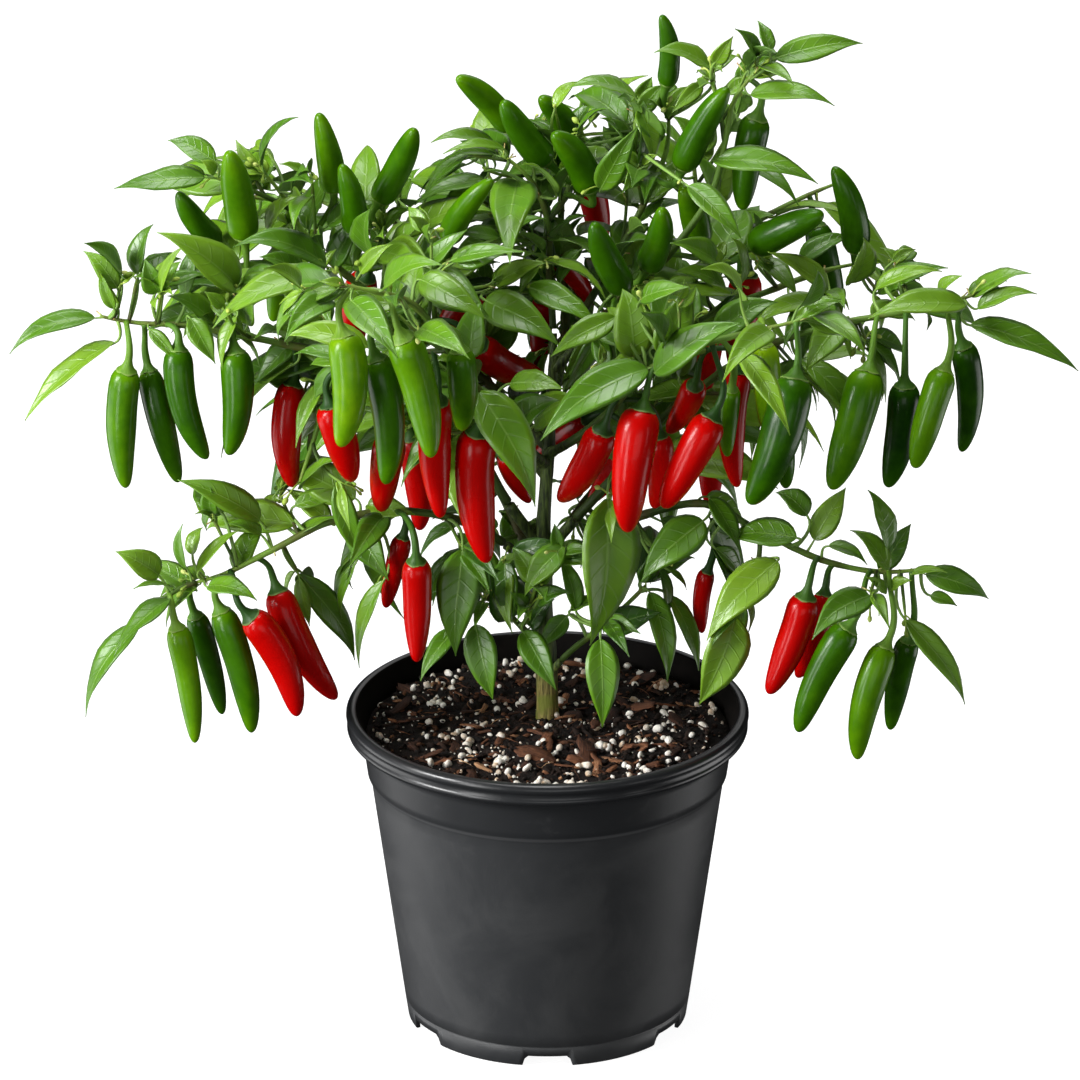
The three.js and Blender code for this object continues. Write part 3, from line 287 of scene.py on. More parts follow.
def pot_profile():
    """The half section, from the middle of the floor's underside round the rim and back inside."""
    step_top = STEP_HEIGHT + STEP_RISE
    floor_top = FLOOR_HEIGHT + FLOOR_THICKNESS
    neck = wall_radius(RIM_UNDERSIDE) + STEP_WIDTH
    wall = [(wall_radius(z), z) for z in np.linspace(MOULD_LINE + 1, STEP_HEIGHT, 20)]
    upper = [(wall_radius(z) + STEP_WIDTH, z) for z in np.linspace(step_top, RIM_UNDERSIDE - 2, 6)]
    inner_upper = [(r - WALL, z) for r, z in upper[::-1]]
    inner_wall = [(wall_radius(z) - WALL, z)
                  for z in np.linspace(STEP_HEIGHT - 2, floor_top, 12)]
    lower_bead = (RIM_RADIUS - 0.5 - LOWER_BEAD, RIM_UNDERSIDE + LOWER_BEAD)
    upper_bead = (RIM_RADIUS - UPPER_BEAD, POT_HEIGHT - UPPER_BEAD)
    inner_lip = (RIM_RADIUS - RIM_WALL + 2, POT_HEIGHT - 2)
    return [
        (AXIS_RADIUS, FLOOR_HEIGHT),
        (FOOT_RADIUS - FOOT_WALL + WALL_SPREAD * FLOOR_HEIGHT, FLOOR_HEIGHT),
        (FOOT_RADIUS - FOOT_WALL, 0),
        (FOOT_RADIUS - FOOT_EDGE, 0),
        (FOOT_RADIUS, FOOT_EDGE),
        (wall_radius(MOULD_LINE), MOULD_LINE),
        (wall_radius(MOULD_LINE) - 0.5, MOULD_LINE + 0.5),
        *wall,
        (wall_radius(STEP_HEIGHT) + 0.35, STEP_HEIGHT + 0.9),
        (wall_radius(STEP_HEIGHT) + STEP_WIDTH - 0.2, STEP_HEIGHT + 2.2),
        *upper,
        (neck + 1.2, RIM_UNDERSIDE - 0.5),
        (neck + 2.6, RIM_UNDERSIDE),
        *round_corner(lower_bead, LOWER_BEAD, -90, 50, 8),
        (RIM_RADIUS - BEAD_GROOVE, POT_HEIGHT - 2 * UPPER_BEAD),
        *round_corner(upper_bead, UPPER_BEAD, -50, 90, 10),
        *round_corner(inner_lip, 2, 90, 180, 4),
        (neck - WALL + 0.6, RIM_UNDERSIDE + 2),
        *inner_upper,
        *inner_wall,
        (AXIS_RADIUS, floor_top),
    ]


def cut(piece, cutter):
    """Takes the cutter's shape out of the piece and removes the cutter."""
    modifier = piece.modifiers.new("cut", "BOOLEAN")
    modifier.operation = "DIFFERENCE"
    modifier.solver = "EXACT"
    modifier.object = cutter
    evaluated = piece.evaluated_get(bpy.context.evaluated_depsgraph_get())
    mesh = bpy.data.meshes.new_from_object(evaluated)
    piece.modifiers.clear()
    piece.data = mesh
    bpy.data.objects.remove(cutter)


def spin(points, turn):
    c, s = cos(turn), sin(turn)
    return np.asarray(points, float) @ np.array([[c, s, 0], [-s, c, 0], [0, 0, 1]])


plastic = Look("black_moulded_plastic", Specular_IOR_Level=0.5)
plastic_smudge = plastic.noise(16, 5, 0.6, distortion=0.6)
plastic_grain = plastic.noise(420, 2, 0.6)
plastic_scuffs = plastic.noise(60, 6, 0.72, distortion=1.4)
scuffed = plastic.ease(plastic_scuffs, 0.56, 0.74)
plastic_height = plastic.node("SeparateXYZ", [plastic.place()], out=2)
above_step = plastic.ease(plastic_height, (STEP_HEIGHT - 1) * MM, (STEP_HEIGHT + STEP_RISE) * MM)
rim_gloss = plastic.ease(plastic_height, (RIM_UNDERSIDE - 1) * MM, (RIM_UNDERSIDE + 1) * MM)
# Above the step the plastic gets less dust and is mixed towards near black: painted shade that the
# rim's overhang casts on the band below it, carried on over the rim.
dust_and_painted_shade = plastic.ease(plastic_smudge, 0.38, 0.68) * (1 - above_step * 0.8)
plastic_colour = plastic.mix(dust_and_painted_shade, (0.029, 0.0305, 0.0325), (0.039, 0.0405, 0.042))
plastic_colour = plastic.mix(above_step * 0.4, plastic_colour, (0.006, 0.0065, 0.0075))
# A pale line painted along the step's ledge: a painted highlight.
step_ledge_highlight = (plastic.ease(plastic_height, (STEP_HEIGHT + 0.2) * MM, (STEP_HEIGHT + 1.4) * MM)
             * plastic.ease(plastic_height, (STEP_HEIGHT + 4) * MM, (STEP_HEIGHT + 2.4) * MM))
plastic_colour = plastic.mix(rim_gloss * 0.2, plastic_colour, (0.002, 0.002, 0.0025))
plastic_colour = plastic.mix(step_ledge_highlight * 0.7, plastic_colour, (0.085, 0.087, 0.09))
plastic.shade(
    Base_Color=plastic.mix(scuffed * (1 - rim_gloss) * 0.3, plastic_colour, (0.05, 0.05, 0.051)),
    Roughness=0.4 + dust_and_painted_shade * 0.14 + scuffed * 0.06 - above_step * 0.06 - rim_gloss * 0.06,
    bump=plastic_grain * 0.35 + plastic_smudge * 1.2,
    strength=0.3,
    depth=0.25,
)

pot_heap = Heap()
pot_heap.loft([[(r * sin(t), -r * cos(t), z) for t in turns_round(POT_SIDES)]
               for r, z in pot_profile()])
pot = pot_heap.piece("pot_shell", plastic, "pot", "pot")

half_notch = NOTCH_WIDTH / 2
notch_outline = [
    (-half_notch, -NOTCH_CORNER), (half_notch, -NOTCH_CORNER),
    (half_notch - NOTCH_CORNER, NOTCH_HEIGHT - NOTCH_CORNER),
    (half_notch - 2 * NOTCH_CORNER, NOTCH_HEIGHT),
    (2 * NOTCH_CORNER - half_notch, NOTCH_HEIGHT),
    (NOTCH_CORNER - half_notch, NOTCH_HEIGHT - NOTCH_CORNER),
]
notch_ends = [NOTCH_REACH - FOOT_RADIUS, -FOOT_RADIUS - NOTCH_REACH]
notch = [[(x, y, z) for x, z in notch_outline] for y in notch_ends]
drain = [[(DRAIN_RADIUS * cos(t), DRAIN_RADIUS * sin(t) - DRAIN_CIRCLE, z)
          for t in turns_round(DRAIN_SIDES)]
         for z in (FLOOR_HEIGHT - 3, FLOOR_HEIGHT + FLOOR_THICKNESS + 3)]
cutters = Heap()
for turn in turns_round(NOTCHES):
    cutters.loft([spin(ring, turn) for ring in notch])
    cutters.loft([spin(ring, turn) for ring in drain])
cut(pot, cutters.piece("cutter", plastic, "pot"))

# The pot's inner wall above the soil: the same plastic, dulled by a film of peat dust that has
# settled on it since the plant was potted and painted near black as painted shade inside the rim.
# It is a second material on the pot's own faces.
SHADED_DUSTY_RADIUS = RIM_RADIUS - RIM_WALL + 1
SHADED_DUSTY_FROM = RIM_UNDERSIDE - 12
dulled = Look("peat_dust_on_plastic", Specular_IOR_Level=0.06)
dulled_film = dulled.noise(90, 4, 0.6)
dulled.shade(
    Base_Color=dulled.mix(dulled_film, (0.002, 0.002, 0.002), (0.011, 0.009, 0.008)),
    Roughness=0.6 + dulled_film * 0.3,
    bump=dulled_film,
)
pot.data.materials.append(dulled.material)
for face in pot.data.polygons:
    outward = face.normal.xy.dot(face.center.xy)
    inside = face.center.xy.length < SHADED_DUSTY_RADIUS * MM and outward < 0
    if inside and face.center.z > SHADED_DUSTY_FROM * MM:
        face.material_index = 1


# The potting mix: dark fibrous peat with bark chips, crumbs, root threads and white perlite
# grains. It fills the pot to just below the rim and its top is left loose and uneven.
SOIL_TOP = 178
SOIL_EDGE_DROP = 6
SOIL_LUMP = 2.2
SOIL_LUMPS = [(0.045, 1.2), (0.13, 0.8), (0.4, 0.35)]
SOIL_ROWS = 64
SOIL_SIDES = 160
GAP = 0.3
soil_radius = wall_radius(SOIL_TOP - SOIL_EDGE_DROP) + STEP_WIDTH - WALL - GAP
handful = np.random.default_rng(7)


def soil_height(x, y):
    at = Vector((x, y, 0))
    lumps = sum(noise.noise(at * scale) * share for scale, share in SOIL_LUMPS)
    edge = max(0, hypot(x, y) / soil_radius - 0.86) / 0.14
    return SOIL_TOP + SOIL_LUMP * lumps - SOIL_EDGE_DROP * 0.7 * edge * edge


def on_soil(spread=0.97):
    """A random place on the soil's top."""
    turn = handful.uniform(0, 2 * pi)
    radius = soil_radius * spread * sqrt(handful.uniform(0, 1))
    x, y = radius * cos(turn), radius * sin(turn)
    return np.array([x, y, soil_height(x, y)])


def any_turn(tilt=pi):
    """A random rotation; a small tilt keeps the flat side up."""
    spun = Matrix.Rotation(handful.uniform(0, 2 * pi), 3, "Z")
    nodded = Matrix.Rotation(handful.uniform(-tilt, tilt), 3, "X")
    rolled = Matrix.Rotation(handful.uniform(-tilt, tilt), 3, "Y")
    return np.array(spun @ (nodded @ rolled))


def unit(v):
    return v / norm(v)


def ball(level):
    """The points and faces of a ball of radius 1."""
    mesh = bmesh.new()
    bmesh.ops.create_icosphere(mesh, subdivisions=level, radius=1)
    points = np.array([v.co for v in mesh.verts])
    faces = [[v.index for v in face.verts] for face in mesh.faces]
    mesh.free()
    return points, faces


peat = Look("damp_peat", Specular_IOR_Level=0.3)
peat_fine = peat.noise(900, 6, 0.7)
peat_coarse = peat.noise(140, 4, 0.6)
peat_share = peat.ease(peat_fine * 0.6 + peat_coarse * 0.4, 0.42, 0.68)
peat.shade(
    Base_Color=peat.mix(peat_share, srgb(12, 8, 6), srgb(46, 31, 23)),
    Roughness=0.75 + peat_coarse * 0.2,
    bump=peat_fine + peat_coarse,
    strength=0.9,
    depth=1.6,
)

peat_heap = Heap()
peat_base = FLOOR_HEIGHT + FLOOR_THICKNESS
peat_sides = [
    (wall_radius(peat_base) - WALL - GAP, peat_base + GAP),
    (wall_radius(STEP_HEIGHT - 3) - WALL - GAP, STEP_HEIGHT - 3),
    (wall_radius(STEP_HEIGHT + 4) + STEP_WIDTH - WALL - GAP, STEP_HEIGHT + 4),
]
peat_rings = [[(r * cos(t), r * sin(t), z) for t in turns_round(SOIL_SIDES)]
              for r, z in peat_sides]
for share in np.linspace(0, 1, SOIL_ROWS + 1)[:0:-1]:
    ring = []
    for turn in turns_round(SOIL_SIDES):
        x, y = soil_radius * share * cos(turn), soil_radius * share * sin(turn)
        ring.append((x, y, soil_height(x, y)))
    peat_rings.append(ring)
peat_heap.loft(peat_rings)
peat_heap.piece("peat", peat, "soil", "soil")

# Crumbs of peat and shredded bark, lying loose over the top in browns from black to tan, with
# thin bent root threads of the same colours between them.
CRUMB_COUNT = 1900
CRUMB_STRETCH = [(0.8, 2.2), (0.6, 1), (0.35, 0.8)]
CRUMB_LIFT = 0.25
THREAD_COUNT = 90
THREAD_LENGTH = [5, 20]
THREAD_RADIUS = 0.35
crumb_look = Look("crumbs_of_peat_and_bark", Specular_IOR_Level=0.3)
crumb_tone = crumb_look.attribute("tone")
crumb_fine = crumb_look.noise(700, 5, 0.7)
crumb_colour = crumb_look.ramp(
    crumb_tone + (crumb_fine - 0.5) * 0.5,
    (0, srgb(11, 8, 6)), (0.45, srgb(46, 30, 21)), (0.78, srgb(116, 74, 48)),
    (1, srgb(214, 172, 128)),
)
crumb_look.shade(
    Base_Color=crumb_colour,
    Roughness=0.7 + crumb_fine * 0.25,
    bump=crumb_fine,
    strength=0.8,
    depth=0.8,
)

crumbs = Heap()
crumb_points, crumb_faces = ball(1)
for _ in range(CRUMB_COUNT):
    size = 0.7 + 1.7 * handful.random() ** 2.2
    stretch = size * np.array([handful.uniform(*span) for span in CRUMB_STRETCH])
    rough = crumb_points * (1 + handful.uniform(-0.28, 0.28, (len(crumb_points), 1)))
    points = rough * stretch @ any_turn(0.8).T + on_soil() + [0, 0, size * CRUMB_LIFT]
    crumbs.add(points, crumb_faces, tone=handful.beta(1.3, 3))
for _ in range(THREAD_COUNT):
    length = handful.uniform(*THREAD_LENGTH)
    heading = handful.uniform(0, 2 * pi)
    middle = on_soil(0.88)
    bow = handful.uniform(-0.35, 0.35) * length
    lift = handful.uniform(0.5, 1.8)
    c, d = cos(heading), sin(heading)
    rings = []
    for s in np.linspace(-1, 1, 7):
        x = middle[0] + c * s * length / 2 - d * bow * (1 - s * s)
        y = middle[1] + d * s * length / 2 + c * bow * (1 - s * s)
        at = np.array([x, y, soil_height(x, y) + 0.2 + lift * (1 - s * s)])
        thick = THREAD_RADIUS * (1.1 - abs(s))
        rings.append([at + [-d * thick * a, c * thick * a, thick * b]
                      for a, b in ((1, 0), (0, 1), (-1, 0), (0, -1))])
    crumbs.loft(rings, tone=handful.uniform(0.4, 1))
crumbs.piece("soil_crumbs", crumb_look, "soil", "soil")

# Bark chips: reddish-brown plates, split off along the grain, with ragged ends and streaks along
# them. They lie on the peat at all angles, some half sunk, and a few are as long as a thumb joint.
CHIP_COUNT = 170
CHIP_ROWS = 10
CHIP_SECTION = [(0, 1), (0.33, 1), (0.66, 1), (1, 1), (1, -1), (0.66, -1), (0.33, -1), (0, -1)]
BIG_CHIPS = 20
BIG_LENGTH = [17, 32]
bark = Look("bark_chips", Specular_IOR_Level=0.35)
bark_way = bark.attribute("grain", out="Vector")
bark_streak = bark.noise(1, 5, 0.65, at=bark_way)
bark_fine = bark.noise(600, 4, 0.7)
bark_colour = bark.ramp(
    bark.attribute("tone") + (bark_streak - 0.5) * 0.9,
    (0, srgb(22, 13, 9)), (0.4, srgb(72, 44, 30)), (0.7, srgb(134, 84, 54)),
    (1, srgb(214, 168, 124)),
)
bark.shade(
    Base_Color=bark_colour,
    Roughness=0.6 + bark_fine * 0.3,
    bump=bark_streak + bark_fine * 0.4,
    strength=0.8,
    depth=0.9,
)

chips = Heap()
for k in range(CHIP_COUNT):
    length = handful.uniform(*BIG_LENGTH) if k < BIG_CHIPS else 5 + 14 * handful.random() ** 1.5
    width = length * handful.uniform(0.3, 0.72)
    thick = handful.uniform(0.8, 1.7)
    bend = handful.uniform(-0.04, 0.07) * length
    twist = handful.uniform(-0.22, 0.22)
    rings = []
    grain = []
    edges = np.array([0.75, 0.75])
    seed = handful.uniform(0, 50, 3)
    ragged = handful.uniform(-0.09, 0.09, (2, len(CHIP_SECTION))) * length
    for s in np.linspace(-1, 1, CHIP_ROWS):
        edges = np.clip(edges + handful.uniform(-0.28, 0.28, 2), 0.4, 1)
        edges *= 1 - 0.45 * max(abs(s) - 0.7, 0) / 0.3
        low, high = -width / 2 * edges[0], width / 2 * edges[1]
        ring = []
        for n, (share, side) in enumerate(CHIP_SECTION):
            x = s * length / 2 + ragged[int(s > 0)][n] * abs(s) ** 3
            y = low + (high - low) * share
            rounding = 1 if 0 < share < 1 else 0.5
            z = bend * (1 - s * s) + side * thick / 2 * rounding + handful.uniform(-0.2, 0.2)
            c, d = cos(twist * s), sin(twist * s)
            y, z = y * c - z * d, z * c + y * d
            ring.append((x, y, z))
            grain.append((x * 0.12 + seed[0], y * 1.6 + seed[1], z * 1.6 + seed[2]))
        rings.append(ring)
    lift = handful.uniform(-0.8, 1.3)
    laid = np.array(rings) @ any_turn(0.5).T + on_soil(0.88) + [0, 0, lift]
    chips.loft(laid, tone=0.06 + 0.9 * handful.beta(1.7, 2), grain=np.reshape(grain, laid.shape))
chips.piece("bark_chips", bark, "soil", "soil")

# Perlite: white grains of puffed volcanic glass with a pitted surface, most of them a few
# millimetres across. They lie loose on top, one in three of them in small clusters.
GRAIN_COUNT = 760
GRAIN_RADIUS = [0.5, 3.2]
CLUSTER_COUNT = 26
CLUSTER_SPREAD = 9
perlite = Look("perlite", Specular_IOR_Level=0.3)
perlite_pits = perlite.node("TexVoronoi", {"Vector": perlite.place(), "Scale": 1400})
perlite_stain = perlite.noise(260, 4, 0.65)
perlite_dirt = perlite.ease(perlite_stain + perlite.attribute("tone") * 0.34, 0.56, 0.95)
perlite_colour = perlite.mix(perlite_dirt, srgb(250, 246, 236), srgb(204, 176, 142))
perlite.shade(
    Base_Color=perlite_colour,
    Roughness=0.85,
    bump=perlite_pits,
    strength=0.6,
    depth=0.35,
)

grains = Heap()
grain_points, grain_faces = ball(2)
clusters = [on_soil(0.85) for _ in range(CLUSTER_COUNT)]
for k in range(GRAIN_COUNT):
    size = GRAIN_RADIUS[0] + (GRAIN_RADIUS[1] - GRAIN_RADIUS[0]) * handful.random() ** 2.8
    lumps = handful.normal(0, 1, (6, 3))
    swell = sum(np.clip(grain_points @ unit(lump), 0, 1) ** 3 for lump in lumps)
    shape = grain_points * (0.66 + 0.3 * swell[:, None]) * handful.uniform(0.6, 1.15, 3)
    place = on_soil()
    if k % 3 == 0:
        near = clusters[k % len(clusters)]
        x = near[0] + handful.normal(0, CLUSTER_SPREAD)
        y = near[1] + handful.normal(0, CLUSTER_SPREAD)
        if hypot(x, y) < soil_radius * 0.96:
            place = np.array([x, y, soil_height(x, y)])
    points = shape * size @ any_turn().T + place + [0, 0, size * 0.35]
    grains.add(points, grain_faces, tone=handful.random())
grains.piece("perlite_grains", perlite, "soil", "soil")


# How the plant grows: eighteen branches leave the trunk. The table says how far along its main
# stem each belongs to the trunk, then the main stem's route and its twigs' routes in millimetres.
TRUNK_FOOT = [0, 12, 120]
TRUNK_RADIUS = 7
TRUNK_ROUTE = [
    TRUNK_FOOT, [0, 12, 176], [-1, 11, 215], [-3, 10, 250], [-3, 10, 285],
    [-1, 12, 320], [1, 14, 350], [2, 16, 376], [4, 18, 398],
]
BRANCHES = {
    "low_left": (34, [
        [-4, 10, 262], [-27, 2, 291], [-52, -8, 308], [-92, -18, 317], [-123, -24, 313],
        [-158, -30, 297], [-184, -34, 285], [-199, -36, 281],
    ], [
        [[-199, -36, 281], [-216, -40, 274], [-229, -41, 260]],
    ]),
    "low_right": (34, [
        [-1, 10, 268], [30, 0, 295], [58, -10, 313], [89, -16, 321], [120, -22, 307],
        [160, -28, 290], [188, -32, 286], [214, -34, 289],
    ], [
        [[120, -22, 307], [119, -32, 290], [110, -40, 270]],
    ]),
    "mid_left": (33, [
        [-4, 10, 285], [-24, 6, 315], [-38, 2, 343], [-66, -4, 376], [-112, -8, 407],
        [-145, -10, 415], [-173, -12, 422], [-207, -14, 429], [-230, -16, 431], [-252, -18, 436],
    ], [
        [[-173, -12, 422], [-181, -16, 439], [-178, -21, 454]],
        [[-112, -8, 407], [-124, -14, 384], [-133, -18, 358], [-140, -20, 336]],
    ]),
    "mid_right": (29, [
        [-1, 10, 280], [18, 4, 306], [41, -2, 336], [61, -8, 366], [86, -12, 390], [117, -16, 414],
        [159, -20, 431], [198, -22, 440], [229, -22, 447], [239, -24, 451],
    ], []),
    "crown_left": (30, [
        [-1, 14, 344], [-27, 20, 373], [-61, 24, 402], [-95, 26, 428], [-123, 26, 452],
        [-140, 28, 471], [-149, 28, 490], [-160, 26, 505],
    ], [
        [[-146, 28, 483], [-166, 22, 496], [-188, 13, 508]],
        [[-95, 26, 428], [-130, 14, 438], [-160, 8, 446], [-184, 16, 450]],
        [[-61, 24, 402], [-64, 8, 430], [-60, -8, 456]],
        [[-95, 26, 428], [-92, 22, 450], [-94, 20, 472]],
    ]),
    "top_mid": (26, [
        [3, 17, 384], [3, 30, 412], [1, 40, 441], [0, 48, 468], [-8, 50, 489], [-26, 55, 505],
    ], [
        [[0, 48, 468], [12, 60, 484], [10, 68, 504]],
    ]),
    "top_centre": (26, [
        [4, 18, 394], [21, 30, 421], [41, 38, 454], [58, 42, 489], [67, 44, 512], [68, 44, 535],
    ], [
        [[31, 34, 438], [41, 17, 442], [50, 2, 446]],
        [[58, 42, 489], [51, 37, 512], [50, 40, 538]],
    ]),
    "top_right": (30, [
        [4, 17, 390], [37, 15, 428], [75, 8, 472], [93, 8, 502], [100, 8, 532], [105, 8, 556],
        [117, 10, 572],
    ], [
        [[100, 8, 532], [96, 16, 550], [92, 26, 564]],
    ]),
    "right_top": (30, [
        [2, 15, 364], [41, 20, 388], [86, 30, 415], [126, 34, 431], [160, 34, 444], [176, 30, 449],
    ], [
        [[86, 30, 415], [100, 18, 430], [108, 10, 442]],
    ]),
    "front_left": (26, [
        [-1, 12, 334], [-27, -40, 382], [-55, -80, 440], [-79, -100, 478], [-99, -110, 488],
        [-113, -112, 492],
    ], [
        [[-55, -80, 440], [-82, -72, 434], [-110, -64, 424]],
        [[-27, -40, 382], [-52, -46, 392], [-74, -48, 396]],
    ]),
    "front_right": (26, [
        [0, 12, 340], [30, -40, 382], [57, -75, 426], [85, -90, 447], [118, -95, 458],
        [141, -95, 464],
    ], [
        [[57, -75, 426], [74, -58, 426], [94, -46, 428]],
    ]),
    "back_left": (26, [
        [-1, 12, 326], [-32, 50, 366], [-62, 84, 402], [-92, 112, 428], [-124, 134, 444],
        [-160, 148, 456],
    ], [
        [[-92, 112, 428], [-84, 134, 442], [-80, 152, 462]],
    ]),
    "back_right": (26, [
        [2, 14, 356], [36, 48, 384], [70, 80, 410], [100, 108, 430], [134, 130, 444],
        [170, 142, 456],
    ], [
        [[100, 108, 430], [88, 128, 446], [84, 146, 468]],
    ]),
    "back_mid": (26, [
        [3, 17, 370], [10, 50, 402], [8, 80, 434], [8, 108, 458], [12, 134, 474], [22, 160, 488],
    ], [
        [[8, 80, 434], [-18, 98, 452], [-36, 110, 476]],
    ]),
    "back_low_left": (30, [
        [-3, 10, 258], [-22, 46, 292], [-44, 84, 318], [-68, 112, 328], [-94, 134, 328],
        [-118, 150, 320],
    ], []),
    "back_low_right": (30, [
        [-2, 11, 272], [26, 48, 302], [56, 82, 326], [84, 112, 340], [112, 134, 344],
        [144, 150, 338],
    ], []),
    "shoot_left": (16, [
        [-1, 11, 218], [-16, 0, 240], [-28, -14, 258], [-36, -28, 268],
    ], [
        [[-16, 0, 240], [-12, -14, 248], [-10, -26, 262]],
    ]),
    "shoot_right": (16, [
        [0, 11, 204], [14, -4, 226], [26, -26, 246], [32, -40, 262],
    ], [
        [[14, -4, 226], [36, -6, 246], [56, -4, 266]],
    ]),
}
TRUNK_RADII = [TRUNK_RADIUS, TRUNK_RADIUS, 6.6, 6.3, 6, 5, 4.4, 3.8, 3.2]

# Where the fruit hangs: for each chilli the place where it leaves its cap, the place of its tip,
# its greatest radius, and 1 if it is red. They hang in loose bunches below the branches.
CHILLIES = {
    "low_left": [
        [-210, -45, 257, -200, -52, 189, 7.4, 0], [-200, -20, 254, -185, -20, 193, 6.8, 0],
        [-185, -40, 265, -168, -44, 192, 8.5, 0], [-168, -55, 268, -142, -58, 208, 9.4, 1],
        [-153, -30, 273, -120, -30, 207, 9.1, 1], [-74, -60, 304, -74, -64, 244, 8.5, 1],
        [-82, -20, 302, -92, -10, 255, 6, 1],
    ],
    "low_right": [
        [146, -50, 278, 125, -56, 221, 9.4, 1], [157, -25, 269, 142, -22, 217, 7.4, 1],
        [170, -55, 261, 142, -62, 200, 9.4, 0], [191, -50, 247, 176, -54, 180, 8.5, 0],
        [205, -30, 243, 195, -26, 186, 7.4, 0], [91, -5, 275, 88, -3, 236, 5.2, 1],
    ],
    "mid_left": [
        [-237, -30, 408, -238, -34, 338, 8.8, 0], [-225, -14, 401, -209, -10, 332, 7.4, 0],
        [-208, -26, 419, -192, -32, 355, 8.5, 0], [-176, -30, 419, -180, -36, 359, 9.1, 0],
        [-144, -5, 389, -144, -8, 328, 9.1, 1], [-24, 0, 344, -10, 15, 309, 6, 1],
    ],
    "mid_right": [
        [180, -45, 413, 160, -52, 345, 11, 0], [201, -35, 401, 192, -30, 337, 9.1, 0],
        [223, -32, 408, 207, -38, 352, 8.8, 0], [234, -20, 419, 234, -14, 352, 8, 0],
        [24, -10, 371, -7, 20, 336, 8.5, 1], [48, 15, 345, 24, 22, 306, 7, 1],
    ],
    "front_left": [
        [-114, -105, 459, -116, -112, 395, 10, 0], [-96, -90, 439, -91, -94, 365, 9.7, 0],
        [-81, -118, 463, -65, -126, 394, 10.6, 0], [-49, -95, 446, -48, -90, 396, 8.5, 0],
        [-62, -80, 410, -60, -76, 337, 9.7, 1], [-39, -100, 399, -34, -106, 322, 11.2, 1],
        [-122, -60, 399, -110, -52, 350, 9.7, 1], [-88, -50, 374, -94, -34, 324, 9.7, 1],
    ],
    "front_right": [
        [53, -90, 408, 45, -96, 337, 11.6, 1], [92, -90, 403, 65, -92, 350, 10.2, 1],
        [63, -40, 372, 60, -34, 326, 7.4, 1], [121, -70, 439, 122, -62, 386, 8, 0],
        [138, -100, 431, 113, -108, 359, 12, 0], [103, -85, 419, 101, -80, 376, 6, 0],
        [108, -50, 416, 107, -50, 345, 8, 1], [83, -40, 403, 68, -20, 366, 7.4, 1],
        [31, -30, 371, 7, -10, 321, 9.4, 1],
    ],
    "crown_left": [
        [-171, 10, 473, -179, -4, 530, 9.2, 0], [-188, 30, 463, -208, 10, 500, 7.1, 0],
        [-121, 35, 493, -129, 20, 544, 7.7, 0], [-109, 10, 478, -116, -6, 523, 7.7, 0],
        [-95, 20, 491, -75, 2, 541, 8, 0], [-55, -10, 480, -31, -30, 523, 7.4, 0],
        [-39, 20, 403, -4, 60, 370, 9.4, 1], [-39, 40, 429, -61, 60, 384, 8, 1],
    ],
    "top_mid": [
        [-21, 70, 516, -51, 52, 553, 7.7, 0], [-1, 50, 504, -25, 34, 546, 8.5, 0],
        [16, 75, 510, -4, 60, 538, 7.4, 0], [24, 35, 492, 3, 18, 532, 8.8, 0],
        [-3, 44, 422, -5, 50, 376, 6.8, 1], [7, 60, 438, 25, 80, 404, 6.2, 1],
    ],
    "top_centre": [
        [67, 44, 552, 64, 38, 596, 6.2, 0], [76, 20, 511, 101, 8, 563, 8.5, 0],
        [56, 2, 457, 64, -16, 500, 8, 0], [43, -15, 451, 26, -30, 497, 8.5, 0],
    ],
    "top_right": [
        [118, 20, 541, 110, 16, 487, 9.1, 0], [86, 15, 469, 76, 0, 507, 8.5, 0],
    ],
    "right_top": [
        [117, 10, 468, 155, -10, 495, 9.1, 0], [174, 34, 456, 161, 26, 509, 8, 0],
        [94, 5, 415, 89, 12, 376, 6.8, 1],
    ],
    "back_left": [
        [-104, 124, 404, -112, 134, 338, 9.4, 1], [-148, 140, 428, -158, 150, 366, 8.6, 0],
    ],
    "back_right": [
        [114, 122, 406, 108, 132, 342, 9.6, 1], [154, 138, 430, 166, 148, 368, 8.4, 0],
    ],
    "back_mid": [
        [0, 112, 436, -10, 124, 372, 9, 0], [20, 150, 462, 30, 164, 404, 8.6, 1],
    ],
    "back_low_left": [
        [-78, 128, 304, -74, 136, 242, 9.2, 1],
    ],
    "back_low_right": [
        [96, 128, 318, 94, 138, 256, 9, 1], [128, 146, 318, 138, 156, 260, 7.8, 0],
    ],
}

